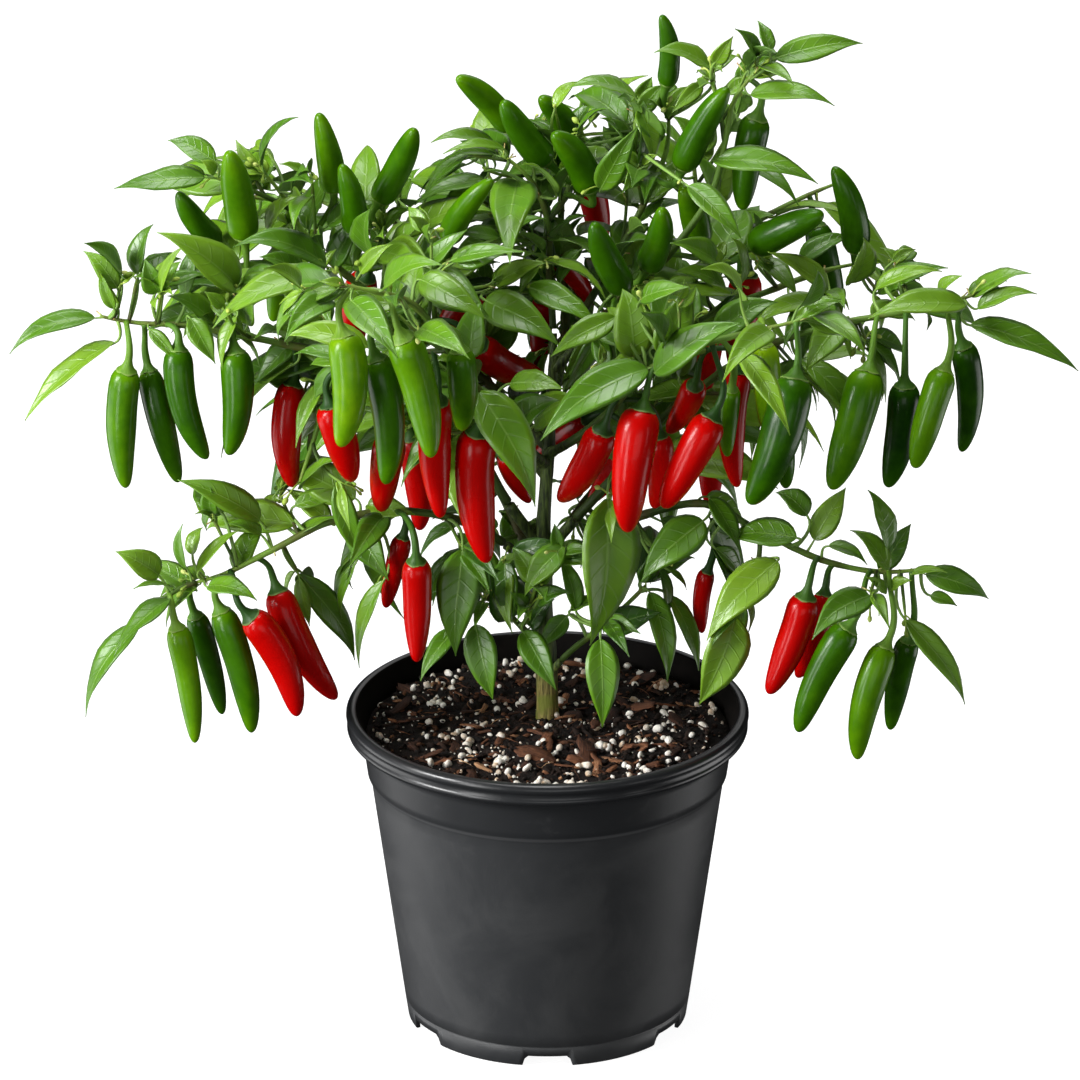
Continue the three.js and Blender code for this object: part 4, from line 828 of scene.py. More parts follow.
# Leaves that stand out on the plant: the blade's foot, its tip and its width. Where other parts of
# the plant are in the way, a leaf moves along the line of sight or turns about its own length.
LEAVES = {
    "mid_left": [
        [-255, -18, 435, -303, -26, 421, 14], [-244, -18, 420, -295, -24, 378, 16],
        [-240, -10, 456, -260, -30, 487, 18], [-231, -8, 457, -222, 0, 486, 14],
        [-242, -14, 439, -252, -24, 468, 9], [-175, -22, 455, -219, -38, 498, 24],
        [-204, -14, 446, -196, -4, 478, 11], [-127, -20, 396, -142, -34, 366, 11],
        [-111, -10, 381, -140, 10, 349, 14], [-140, -20, 332, -117, -40, 360, 15],
        [-188, -6, 423, -163, 14, 397, 13], [-81, 4, 359, -111, 24, 336, 14],
    ],
    "crown_left": [
        [-193, 10, 509, -244, 6, 505, 15], [-187, 14, 517, -214, 24, 527, 14],
        [-161, 24, 511, -140, 14, 546, 14], [-125, 2, 459, -177, -20, 485, 20],
        [-128, -14, 461, -188, -40, 442, 19], [-87, 8, 459, -66, 0, 491, 17],
        [-99, -14, 471, -100, -30, 508, 20], [-105, -16, 461, -87, -24, 484, 10],
        [-70, -8, 459, -45, -16, 489, 13], [-57, -12, 462, -13, -20, 477, 11],
        [-29, 10, 444, -1, 0, 464, 13], [-163, 26, 501, -176, 38, 522, 9],
        [-157, 24, 469, -139, 10, 501, 13], [-67, -20, 460, -33, -46, 448, 24],
    ],
    "top_mid": [
        [-30, 58, 510, -66, 50, 516, 13], [-24, 60, 506, -59, 46, 510, 9],
        [-45, 56, 505, -68, 46, 487, 12], [-34, 40, 495, -75, 30, 486, 15],
        [-9, 40, 488, -36, 26, 508, 14], [5, 44, 486, -14, 30, 512, 13],
        [4, 70, 527, 17, 78, 542, 9], [-27, 30, 462, -1, 20, 483, 13],
        [7, 34, 462, 30, 18, 454, 14], [-35, -4, 440, 7, -30, 426, 22],
    ],
    "top_centre": [
        [50, 44, 544, 12, 40, 555, 16], [92, 42, 562, 60, 34, 577, 14],
        [87, 36, 555, 70, 26, 543, 9], [30, 30, 494, 51, 22, 537, 16],
        [52, 36, 540, 59, 20, 514, 15], [17, 30, 527, 36, 24, 547, 9],
        [79, 12, 502, 109, -10, 479, 17], [61, 40, 486, 88, 58, 508, 14],
    ],
    "top_right": [
        [128, 14, 579, 177, 20, 590, 15], [114, 4, 561, 161, -6, 563, 14],
        [93, 8, 520, 152, -10, 514, 17], [118, 12, 581, 105, 6, 601, 11],
        [94, 10, 578, 104, 4, 597, 10], [119, 10, 576, 138, -8, 572, 10],
        [125, 14, 583, 118, 26, 598, 9],
    ],
    "right_top": [
        [95, 24, 452, 69, 4, 474, 16], [101, 20, 437, 72, 2, 458, 15],
        [104, 10, 438, 48, -12, 439, 11], [109, 8, 445, 103, -4, 482, 13],
        [158, 10, 439, 124, -12, 474, 16], [171, 12, 444, 178, 0, 480, 19],
        [120, 26, 452, 141, 8, 438, 15], [143, 40, 446, 172, 54, 457, 13],
        [187, 16, 437, 226, 2, 459, 15], [154, 4, 437, 115, -24, 433, 15],
    ],
    "mid_right": [
        [238, -24, 433, 299, -28, 409, 17], [238, -20, 449, 272, -26, 468, 14],
        [242, -26, 444, 275, -30, 457, 11], [235, -28, 447, 180, -44, 446, 18],
        [168, -28, 439, 145, -44, 415, 19], [178, 0, 414, 201, 16, 382, 12],
        [34, -44, 335, 24, -60, 256, 37], [86, 10, 379, 50, 24, 366, 15],
    ],
    "front_left": [
        [-39, -62, 408, -7, -84, 353, 27], [-121, -110, 482, -146, -140, 473, 17],
        [-91, -112, 490, -58, -150, 521, 16], [-109, -118, 485, -83, -158, 469, 20],
        [-138, -104, 486, -158, -130, 513, 13], [-71, -106, 463, -43, -142, 463, 18],
    ],
    "front_right": [
        [56, -80, 429, -4, -104, 402, 24], [60, -84, 428, 108, -100, 467, 20],
        [149, -98, 468, 177, -124, 458, 16], [141, -96, 473, 150, -122, 509, 15],
        [108, -92, 475, 85, -124, 510, 17], [124, -100, 460, 97, -142, 451, 17],
    ],
    "low_left": [
        [-48, -40, 303, -52, -52, 246, 24], [-231, -40, 257, -262, -48, 209, 17],
        [-141, -10, 275, -110, 10, 220, 17], [-199, -36, 276, -233, -20, 288, 15],
        [-177, -28, 285, -160, -12, 308, 14], [-123, -20, 311, -148, -4, 326, 13],
        [-92, -24, 317, -112, -62, 303, 17], [-214, -44, 274, -245, -72, 254, 15],
    ],
    "low_right": [
        [130, -40, 296, 90, -58, 259, 23], [106, -44, 263, 86, -56, 216, 25],
        [88, -34, 318, 53, -50, 291, 23], [141, -30, 306, 101, -20, 304, 19],
        [182, -60, 283, 149, -86, 271, 19], [203, -36, 258, 237, -40, 210, 15],
        [90, -10, 323, 111, 10, 291, 15], [151, -24, 302, 169, -14, 332, 15],
        [95, -24, 297, 108, -6, 267, 13], [214, -36, 286, 250, -30, 272, 15],
        [188, -28, 285, 206, -14, 309, 13],
    ],
    "shoot_left": [
        [-41, -38, 256, -31, -48, 215, 19], [-24, -18, 287, -20, -32, 252, 15],
        [-14, -30, 248, 5, -48, 222, 17], [-6, -34, 280, -20, -26, 300, 14],
        [-52, -30, 250, -72, -46, 226, 12],
    ],
    "shoot_right": [
        [30, -50, 252, 31, -62, 205, 19], [58, -12, 265, 68, -26, 219, 15],
        [69, 0, 258, 86, -8, 216, 12], [16, -30, 262, 6, -18, 292, 12],
        [53, 0, 268, 84, 20, 276, 13],
    ],
}

# More leaves, which grow by rule: how closely they follow each other along each branch, where they
# start, and how many stand round the tip of each of its stems. Sizes of stems and leaves follow.
LEAF_RULES = {
    "mid_right": (70, 0.35, 0),
    "front_left": (70, 0.45, 0),
    "front_right": (70, 0.45, 0),
    "back_left": (34, 0.25, 2),
    "back_right": (34, 0.25, 2),
    "back_mid": (34, 0.25, 2),
    "back_low_left": (30, 0.25, 3),
    "back_low_right": (30, 0.25, 3),
}

STEM_BASE_RADIUS = 2
STEM_THICKENING = 0.006
STEM_TIP_RADIUS = 1.5
TWIG_RADIUS = 1.8
TWIG_TAPER = 0.5
STUB_FLARE = 1.15
PEDICEL_RADIUS = 1.5
PEDICEL_REACH = 20
COLLAR_RADIUS = 2.2
CALYX_LENGTH = 7
CHILLI_SHARES = [0, 0.12, 0.5, 0.86, 1]
CHILLI_GIRTHS = [0.76, 1, 0.97, 0.6, 0]
CHILLI_BOW = [0.03, 0.09]
STALK_RADIUS = 1.1
BLADE_FOLD = 0.36
BLADE_BEND = [0.6, 1.1]
BLADE_ROLL = [-0.3, 0.3]
BLADE_SKEW = 0.65
BLADE_POINT = 1.15
LIGHT = [0, -0.5, 0.85]
LIGHT_SPREAD = 0.4
RULE_REACH = [40, 62]
WHORL_REACH = [30, 46]
RULE_STALK = [8, 16]
RULE_WIDTH = [0.3, 0.38]
RULE_BEND = [0.7, 1.2]
RULE_TURN = [-0.4, 0.4]
RULE_LEAN = 0.75
WHORL_LEAN = 1.6
WHORL_STEP = 2
RULE_DIP = 0.15
RULE_DROOP = 0.3
TIP_REST = 6
GOLDEN_ANGLE = 2.4
CANOPY_DEPTH = 165
SOIL_SPACE = 6
RIM_SPACE = 6
INNER_RIM_SPACE = 19
ROOT_START = 0.12
ROOT_INSET = 1.5
ROOT_SPREAD = 1.4
SAMPLE_STEP = 5.5
BLADE_SPACE = 7
OWN_BLADE_SPACE = 3
FOOT_SHARE = 0.3
STALK_SHARE = 0.4
ROD_SPACE = 4.6
HALF_BLADE = 1.2
TOUCH_SPACE = 0.7
DEPTH_TRIES = [0, -5, 5, -10, 10, -15, 15, -21, 21, -28, 28, -36, 36]
TURN_TRIES = [0, 0.6, -0.6]
RULE_TURN_TRIES = [0, 0.6, -0.6, 1.2, -1.2, 1.8, -1.8, 2.4, -2.4, 3.1]
SIGHT_SLOPE = 0.4142
UP = np.array([0, 0, 1.0])
draw_state = [20110]


def draw(span):
    """The next number of a plain random row, within a span."""
    draw_state[0] = draw_state[0] * 16807 % 2147483647
    return span[0] + (span[1] - span[0]) * (draw_state[0] / 2147483647)


def turn_about(v, axis, angle):
    c, s = cos(angle), sin(angle)
    return v * c + np.cross(axis, v) * s + axis * (axis @ v) * (1 - c)


# What is already on the plant, so that nothing grows through it: stems, stalks and fruit are kept
# as round bars, and each blade as points spread over it, with the branch that they belong to.
bar_starts, bar_ends, bar_radii, bar_owners, bar_fruit = [], [], [], [], []
taken_points, taken_owners = np.zeros((0, 3)), np.zeros(0, int)
owners = {name: k for k, name in enumerate(["trunk", *BRANCHES])}


def add_bars(bars):
    for start, end, radius, owner, fruit in bars:
        bar_starts.append(start)
        bar_ends.append(end)
        bar_radii.append(radius)
        bar_owners.append(owner)
        bar_fruit.append(fruit)


def chain(points, radii, owner, fruit=False):
    """The bars of a line through the points."""
    return [(points[i], points[i + 1], max(radii[i], radii[i + 1]), owner, fruit)
            for i in range(len(points) - 1)]


def bar_gaps(start, end):
    """How far the line from start to end passes from the middle line of every bar."""
    c, d = np.array(bar_starts), np.array(bar_ends)
    u, v, w = end - start, d - c, start - c
    uu, uv, vv = u @ u, v @ u, (v * v).sum(1)
    uw, vw = w @ u, (v * w).sum(1)
    s = np.clip((uv * vw - vv * uw) / np.maximum(uu * vv - uv * uv, 1e-9), 0, 1)
    t = np.clip((uv * s + vw) / vv, 0, 1)
    s = np.clip((uv * t - uw) / uu, 0, 1)
    return norm(w + u * s[:, None] - v * t[:, None], axis=1)


def point_gaps(points, starts, ends):
    """How far each point is from each bar's middle line: one row a point, one column a bar."""
    along = ends - starts
    t = ((points[:, None] - starts[None]) * along[None]).sum(2) / (along * along).sum(1)
    nearest = starts[None] + along[None] * np.clip(t, 0, 1)[..., None]
    return norm(points[:, None] - nearest, axis=2)


def bars_clear(bars, ease=1):
    """Whether new bars keep their distance; an ease below 1 lets them come closer."""
    if any(start[2] <= SOIL_TOP + SOIL_SPACE for start, *_ in bars):
        return False
    held = np.array(bar_owners)
    fruit_held = np.array(bar_fruit)
    for start, end, radius, owner, fruit in bars:
        near = bar_gaps(start, end) <= np.array(bar_radii) + radius + TOUCH_SPACE * ease
        if not fruit:
            near &= (held != owner) | fruit_held
        if near.any():
            return False
        reach = norm(end - start) / 2 + radius + BLADE_SPACE
        close = norm(taken_points - (start + end) / 2, axis=1) < reach
        others = taken_points[close & (taken_owners != owner)]
        if len(others):
            space = max(radius + HALF_BLADE, ROD_SPACE) * ease
            if (point_gaps(others, start[None], end[None]) <= space).any():
                return False
    return True


def blade_clear(points, shares, owner, ease=1):
    """Whether a new blade keeps its distance from the pot, the bars and the other blades."""
    flat = np.hypot(points[:, 0], points[:, 1])
    low = points[:, 2] < SOIL_TOP + SOIL_SPACE
    over_rim = (flat > RIM_RADIUS - INNER_RIM_SPACE) & (flat < RIM_RADIUS + RIM_SPACE)
    if (low | ((points[:, 2] < POT_HEIGHT + RIM_SPACE) & over_rim)).any():
        return False
    if (np.abs(points[:, 1]) > CANOPY_DEPTH).any():
        return False
    radii = np.array(bar_radii)
    own = (np.array(bar_owners) == owner) & ~np.array(bar_fruit)
    gaps = point_gaps(points, np.array(bar_starts), np.array(bar_ends))
    space = np.maximum(radii + HALF_BLADE, ROD_SPACE) * ease
    near = gaps <= np.where(own, radii + HALF_BLADE * ease, space)
    near[:, own] &= (shares >= STALK_SHARE)[:, None]
    if near.any():
        return False
    middle = points.mean(0)
    reach = norm(points - middle, axis=1).max() + BLADE_SPACE
    close = norm(taken_points - middle, axis=1) < reach
    if close.any():
        apart = norm(points[:, None] - taken_points[close][None], axis=2)
        own_space = np.where(shares < FOOT_SHARE, 0, OWN_BLADE_SPACE)[:, None]
        space = np.where((taken_owners[close] == owner)[None], own_space, BLADE_SPACE) * ease
        if (apart <= space).any():
            return False
    return True


def nearest_on_stems(stems, target, order):
    """Where on the stems a stalk to the target starts, a little inwards from a stem's end."""
    inset = ROOT_INSET + ROOT_SPREAD * (order % 4)
    best, least = None, inf
    for points, _ in stems:
        for start, end in zip(points, points[1:]):
            along = end - start
            share = (target - start) @ along / (along @ along)
            t = min(max(share, ROOT_START), 1 - inset / norm(along))
            at = start + along * t
            if norm(at - target) < least:
                best, least = at, norm(at - target)
    return best


class Blade:
    """A folded strip that arches away from the light. A share runs from its foot to its tip."""

    def __init__(self, foot, tip, width, bend, roll):
        chord = tip - foot
        reach = norm(chord)
        chord = chord / reach
        outward = unit(np.array([foot[0], foot[1] - TRUNK_FOOT[1], 0]))
        light = np.array(LIGHT) + outward * LIGHT_SPREAD
        up = turn_about(unit(light - chord * (light @ chord)), chord, roll)
        half = bend / 2
        self.foot, self.width, self.bend = foot, width, bend
        self.length = reach * half / sin(half)
        self.along = chord * cos(half) + up * sin(half)
        self.up = up * cos(half) - chord * sin(half)

    def frame(self, share):
        turn = self.bend * share
        radius = self.length / self.bend
        c, s = cos(turn), sin(turn)
        at = self.foot + self.along * (radius * s) - self.up * (radius * (1 - c))
        way = self.along * c - self.up * s
        up = self.up * c + self.along * s
        return at, way, up, np.cross(up, way)

    def outline(self, share):
        return sin(pi * share ** BLADE_SKEW) ** BLADE_POINT if 0 < share < 1 else 0

    def samples(self):
        rows = ceil(self.length / SAMPLE_STEP)
        columns = ceil(self.width / SAMPLE_STEP / 2)
        points, shares = [], []
        for i in range(1, rows + 1):
            share = i / rows
            at, _, up, side = self.frame(share)
            half = self.width / 2 * self.outline(share)
            for k in range(-columns, columns + 1):
                out = half * k / columns
                beside = at + side * out * cos(BLADE_FOLD)
                points.append(beside + up * abs(out) * sin(BLADE_FOLD))
                shares.append(share)
        return np.array(points), np.array(shares)


class Branch:
    """A main stem, whose first stretch belongs to the trunk, its twigs, and what grows on them."""

    def __init__(self, name, split, main, twigs):
        self.name = name
        self.owner = owners[name]
        route = self.route = [np.array(p, float) for p in main]
        way = route[1] - route[0]
        first = norm(way)
        length = sum(norm(b - a) for a, b in zip(route, route[1:]))
        base = STEM_BASE_RADIUS + STEM_THICKENING * length
        taper = (base - STEM_TIP_RADIUS) / (len(route) - 1)
        self.stub = [route[0], route[0] + way * split / first]
        self.stub_radii = [base * STUB_FLARE, base]
        start = route[0] + way * (split + GAP) / first
        self.stems = [([start, *route[1:]], [base - taper * i for i in range(len(route))])]
        for twig in twigs:
            radii = [TWIG_RADIUS - TWIG_TAPER * i / (len(twig) - 1) for i in range(len(twig))]
            self.stems.append(([np.array(p, float) for p in twig], radii))
        self.chillies = []
        self.leaves = []

    def try_leaf(self, foot, tip, width, bend, roll, ease=1):
        """Adds the leaf and its stalk if there is room for them."""
        global taken_points, taken_owners
        blade = Blade(foot, tip, width, bend, roll)
        points, shares = blade.samples()
        root = nearest_on_stems(self.stems, foot, len(self.leaves))
        stalk = chain([root, foot], [STALK_RADIUS, STALK_RADIUS], self.owner)
        if not blade_clear(points, shares, self.owner, ease) or not bars_clear(stalk, ease):
            return False
        add_bars(stalk)
        taken_points = np.concatenate([taken_points, points])
        taken_owners = np.concatenate([taken_owners, np.full(len(points), self.owner)])
        self.leaves.append([root, blade])
        return True

    def try_seen_leaf(self, row, bend, roll, ease=1):
        """Tries a leaf of a table at its place in the view, nearer or farther, turned a little."""
        foot, tip, width = row[:3], row[3:6], row[6]
        return any(self.try_leaf(foot + shift, tip + shift, width, bend, roll + turn, ease)
                   for turn in TURN_TRIES for shift in map(sight_shift, DEPTH_TRIES))


class Chilli:
    """One fruit on a stalk. A share runs from its neck to its tip, along a slightly bowed line."""

    def __init__(self, branch, number, neck, tip, radius, red, turn, bow):
        self.neck, self.tip, self.radius, self.red = neck, tip, radius, red
        self.number = number
        self.length = norm(tip - neck)
        self.axis = unit(tip - neck)
        side = np.array([cos(turn), sin(turn), 0])
        self.bow = unit(side - self.axis * (side @ self.axis)) * bow * self.length
        self.root = nearest_on_stems(branch.stems, neck - self.axis * PEDICEL_REACH, number)
        self.collar = neck - self.axis * CALYX_LENGTH

    def middle(self, share):
        return self.neck + (self.tip - self.neck) * share + self.bow * (4 * share * (1 - share))

    def bars(self, branch):
        stalk_radii = [PEDICEL_RADIUS, COLLAR_RADIUS, COLLAR_RADIUS]
        stalk = chain([self.root, self.collar, self.neck], stalk_radii, branch.owner)
        body = [self.middle(share) for share in CHILLI_SHARES]
        radii = [girth * self.radius for girth in CHILLI_GIRTHS]
        return stalk + chain(body, radii, -1 - len(bar_starts), True)


def sight_shift(depth):
    """A shift towards or away from the viewer that keeps a thing at its place in the view."""
    return np.array([0, depth, -depth * SIGHT_SLOPE])


branches = []
for name, plan in BRANCHES.items():
    branch = Branch(name, *plan)
    for points, radii in branch.stems:
        add_bars(chain(points, radii, branch.owner))
    add_bars(chain(branch.stub, branch.stub_radii, owners["trunk"]))
    branches.append(branch)
trunk_route = [np.array(p, float) for p in TRUNK_ROUTE]
add_bars(chain(trunk_route, TRUNK_RADII, owners["trunk"]))

for branch in branches:
    for k, (*ends, radius, red) in enumerate(CHILLIES.get(branch.name, [])):
        turn = draw([0, 2 * pi])
        bow = draw(CHILLI_BOW)
        for depth in DEPTH_TRIES:
            shift = sight_shift(depth)
            chilli = Chilli(branch, k, ends[:3] + shift, ends[3:] + shift, radius, red, turn, bow)
            bars = chilli.bars(branch)
            if bars_clear(bars):
                add_bars(bars)
                branch.chillies.append(chilli)
                break

missed_leaves = {}
for branch in branches:
    for row in LEAVES.get(branch.name, []):
        bend = draw(BLADE_BEND)
        roll = draw(BLADE_ROLL)
        if not branch.try_seen_leaf(row, bend, roll):
            missed_leaves.setdefault(branch.name, []).append(row)


def place_on(points, run):
    """The place and direction at a distance along a stem."""
    for start, end in zip(points, points[1:]):
        length = norm(end - start)
        if run <= length or end is points[-1]:
            return start + (end - start) * run / length, (end - start) / length
        run -= length


def stem_length(points):
    return sum(norm(b - a) for a, b in zip(points, points[1:]))


def square_to(way, turn):
    """A direction square to a stem, turned about it from the uppermost one."""
    return turn_about(unit(UP - way * way[2]), way, turn)


for branch in branches:
    apart, first_share, whorl = LEAF_RULES.get(branch.name, (0, 0, 0))
    for s, (points, _) in enumerate(branch.stems if apart else []):
        total = stem_length(points)
        spots = []
        run = first_share * total if s == 0 else apart / 2
        while run < total - TIP_REST:
            spots.append((run, draw(RULE_REACH), RULE_LEAN))
            run += apart
        for k in range(whorl):
            spots.append((total - 1 - WHORL_STEP * k, draw(WHORL_REACH), WHORL_LEAN))
        for k, (run, reach, lean) in enumerate(spots):
            at, way = place_on(points, run)
            turn = k * GOLDEN_ANGLE + draw(RULE_TURN)
            stalk = draw(RULE_STALK)
            width = reach * draw(RULE_WIDTH)
            bend = draw(RULE_BEND)
            roll = draw(BLADE_ROLL)
            for more in RULE_TURN_TRIES:
                heading = unit(square_to(way, turn + more) + way * lean)
                heading = unit(heading - UP * RULE_DIP)
                foot = at + heading * stalk
                tip = foot + heading * reach - UP * RULE_DROOP * reach
                if branch.try_leaf(foot, tip, width, bend, roll):
                    break

# The trunk: one woody stem, tan and ridged like bark near the soil and olive green higher up, with
# a swollen joint and the first stretch of a branch wherever one leaves it.
TRUNK_SIDES = 20
TRUNK_FLARE = 0.7
FLARE_REACH = 7
TRUNK_SLIM = [(250, 0.9), (305, 0.72)]
TRUNK_SWELL = 0.08
JOINT_SIDES = 12
JOINT_SLIM = 0.8
JOINT_SWELL = 0.3
NODE_SWELL = 0.16
NODE_REACH = 4


def curve_through(points, step=2.5):
    """A smooth line through the points, and how far along each point of it lies."""
    points = np.array(points, float)
    spans = norm(np.diff(points, axis=0), axis=1)
    knots = np.concatenate([[0], np.cumsum(spans)])
    slopes = np.gradient(points, knots, axis=0, edge_order=2 if len(points) > 2 else 1)
    at = np.unique(np.concatenate([np.linspace(a, b, max(2, round((b - a) / step) + 1))
                                   for a, b in zip(knots, knots[1:])]).round(9))
    k = np.clip(np.searchsorted(knots, at, side="right") - 1, 0, len(spans) - 1)
    h = spans[k][:, None]
    t = ((at - knots[k]) / spans[k])[:, None]
    line = ((2 * t ** 3 - 3 * t ** 2 + 1) * points[k] + (t ** 3 - 2 * t ** 2 + t) * h * slopes[k]
            + (3 * t ** 2 - 2 * t ** 3) * points[k + 1] + (t ** 3 - t ** 2) * h * slopes[k + 1])
    return line, at, knots


def ring_round(at, across, over, reach, angles):
    """The points of a ring about a place, in the plane of two directions."""
    a, b = reach * np.cos(angles), reach * np.sin(angles)
    return at + across * a[:, None] + over * b[:, None]


def tube_rings(line, radii, sides, ridges=0, ridge_count=5, turn=0):
    """Rings round a line, with low ridges along it and no twist from ring to ring."""
    ways = np.gradient(line, axis=0)
    ways /= norm(ways, axis=1)[:, None]
    across = np.cross(ways[0], [0, 0, 1] if abs(ways[0][2]) < 0.9 else [1, 0, 0])
    angles = turns_round(sides)
    rings = []
    for at, way, radius in zip(line, ways, radii):
        across = unit(across - way * (across @ way))
        reach = radius * (1 + ridges * np.cos(ridge_count * angles + turn))
        rings.append(ring_round(at, across, np.cross(way, across), reach, angles))
    return np.array(rings)


wood = Look("trunk_bark_and_green_wood", Specular_IOR_Level=0.35)
wood_height = wood.node("SeparateXYZ", [wood.place()], out=2)
wood_grain = wood.node("VectorMath", [wood.place(), (700, 700, 60)], operation="MULTIPLY")
wood_streak = wood.noise(1, 5, 0.6, at=wood_grain)
wood_patch = wood.noise(90, 3, 0.55)
wood_low = wood.mix(wood.ease(wood_streak, 0.35, 0.66), srgb(70, 64, 30), srgb(150, 138, 76))
wood_low = wood.mix(wood.ease(wood_patch, 0.42, 0.62) * 0.75, wood_low, srgb(104, 116, 36))
wood_high = wood.mix(wood.ease(wood_streak, 0.36, 0.7), srgb(34, 46, 18), srgb(84, 104, 44))
wood_age = wood.ease(wood_height + wood_patch * 0.02, 0.202, 0.226)
wood.shade(
    Base_Color=wood.mix(wood_age, wood_low, wood_high),
    Roughness=0.5 + wood_streak * 0.25,
    bump=wood_streak + wood_patch * 0.4,
    strength=0.55,
    depth=0.7,
)

trunk_heap = Heap()
trunk_line, trunk_runs, trunk_knots = curve_through(TRUNK_ROUTE, 2)
trunk_heights = trunk_line[:, 2]
trunk_radii = np.interp(trunk_runs, trunk_knots, TRUNK_RADII)
trunk_radii *= np.interp(trunk_heights, *np.array(TRUNK_SLIM).T)
trunk_radii += TRUNK_FLARE * np.exp(-((trunk_heights - SOIL_TOP + 3) / FLARE_REACH) ** 2)
for branch in branches:
    joint_height = branch.stub[0][2]
    trunk_radii *= 1 + TRUNK_SWELL * np.exp(-((trunk_heights - joint_height - 3) / 5) ** 2)
trunk_heap.loft(tube_rings(trunk_line, trunk_radii, TRUNK_SIDES, ridges=0.045, turn=0.6))
for branch in branches:
    line, runs, knots = curve_through(branch.route)
    cut_at = norm(branch.stub[1] - branch.stub[0])
    branch.line, branch.runs, branch.knots, branch.cut_at = line, runs, knots, cut_at
    keep = runs <= cut_at + 0.1
    base = branch.stub_radii[1] * JOINT_SLIM
    collar = base * (1 + JOINT_SWELL * np.exp(-((runs[keep] - 5) / 4) ** 2))
    trunk_heap.loft(tube_rings(line[keep], collar, JOINT_SIDES, ridges=0.03, ridge_count=4))
trunk_heap.piece("trunk_with_joints", wood, "trunk", "trunk")

# Side shoots and more leaves stand between the ones above: leaves all along the twigs and tufts of
# young ones at their tips. They keep clear of what is there, stay inside the bush's outline and
# don't grow in front of the fruit that hangs at the front.
# The bush's outline and the gaps in it, measured on the photograph, in mm from the view's middle
CROWN_EDGE = [
    (60, 256), (70, 284), (95, 274), (114, 290), (127, 279), (145, 288), (165, 286), (135, 272),
    (160, 256), (120, 250), (134, 222), (160, 203), (172, 204), (184, 168), (212, 168), (240, 146),
    (272, 152), (274, 140), (253, 130), (292, 102), (241, 116), (249, 90), (244, 53), (230, 50),
    (206, 42), (193, 26), (206, 6), (199, -9), (232, -31), (214, -38), (227, -54), (215, -110),
    (-215, -110), (-226, -54), (-211, -39), (-229, -20), (-243, -8), (-218, -6), (-194, 20),
    (-222, 48), (-243, 60), (-244, 85), (-231, 118), (-250, 128), (-259, 165), (-235, 162),
    (-220, 180), (-205, 197), (-225, 203), (-195, 227), (-165, 224), (-150, 237), (-147, 217),
    (-133, 216), (-106, 219), (-71, 233), (-67, 209), (-55, 219), (-45, 238), (-6, 241), (14, 253),
    (45, 264),
]
DAYLIGHT = [
    (169, 98, 8), (-155, 43, 7), (91, 251, 7), (-40, 211, 7), (-168, -8, 7), (-101, -23, 6),
    (109, 265, 6), (100, 31, 6), (84, -16, 6), (-155, 59, 6), (106, 208, 6), (111, 231, 6),
    (-136, -10, 6), (174, -19, 6), (-119, 35, 6), (-52, -2, 6), (218, 94, 6), (-197, 42, 6),
    (-185, 187, 5), (75, -28, 5), (-26, 214, 5), (-214, 111, 5), (53, -31, 5), (139, 125, 5),
    (110, 24, 5), (-172, -40, 5), (-154, 71, 5), (83, -35, 5), (-156, 29, 4), (-156, 189, 4),
    (-228, 128, 4), (-153, 201, 4), (-218, 163, 4), (-72, 31, 4), (99, 183, 4), (-186, 39, 4),
    (-208, 126, 3), (-191, 94, 3), (165, 62, 3), (203, -52, 3), (82, 264, 3), (-22, 228, 3),
    (-115, 11, 3), (67, -22, 3), (-205, 140, 3), (-164, 23, 3), (83, 17, 3), (145, 14, 3),
    (-140, 13, 3), (-10, -13, 3),
]
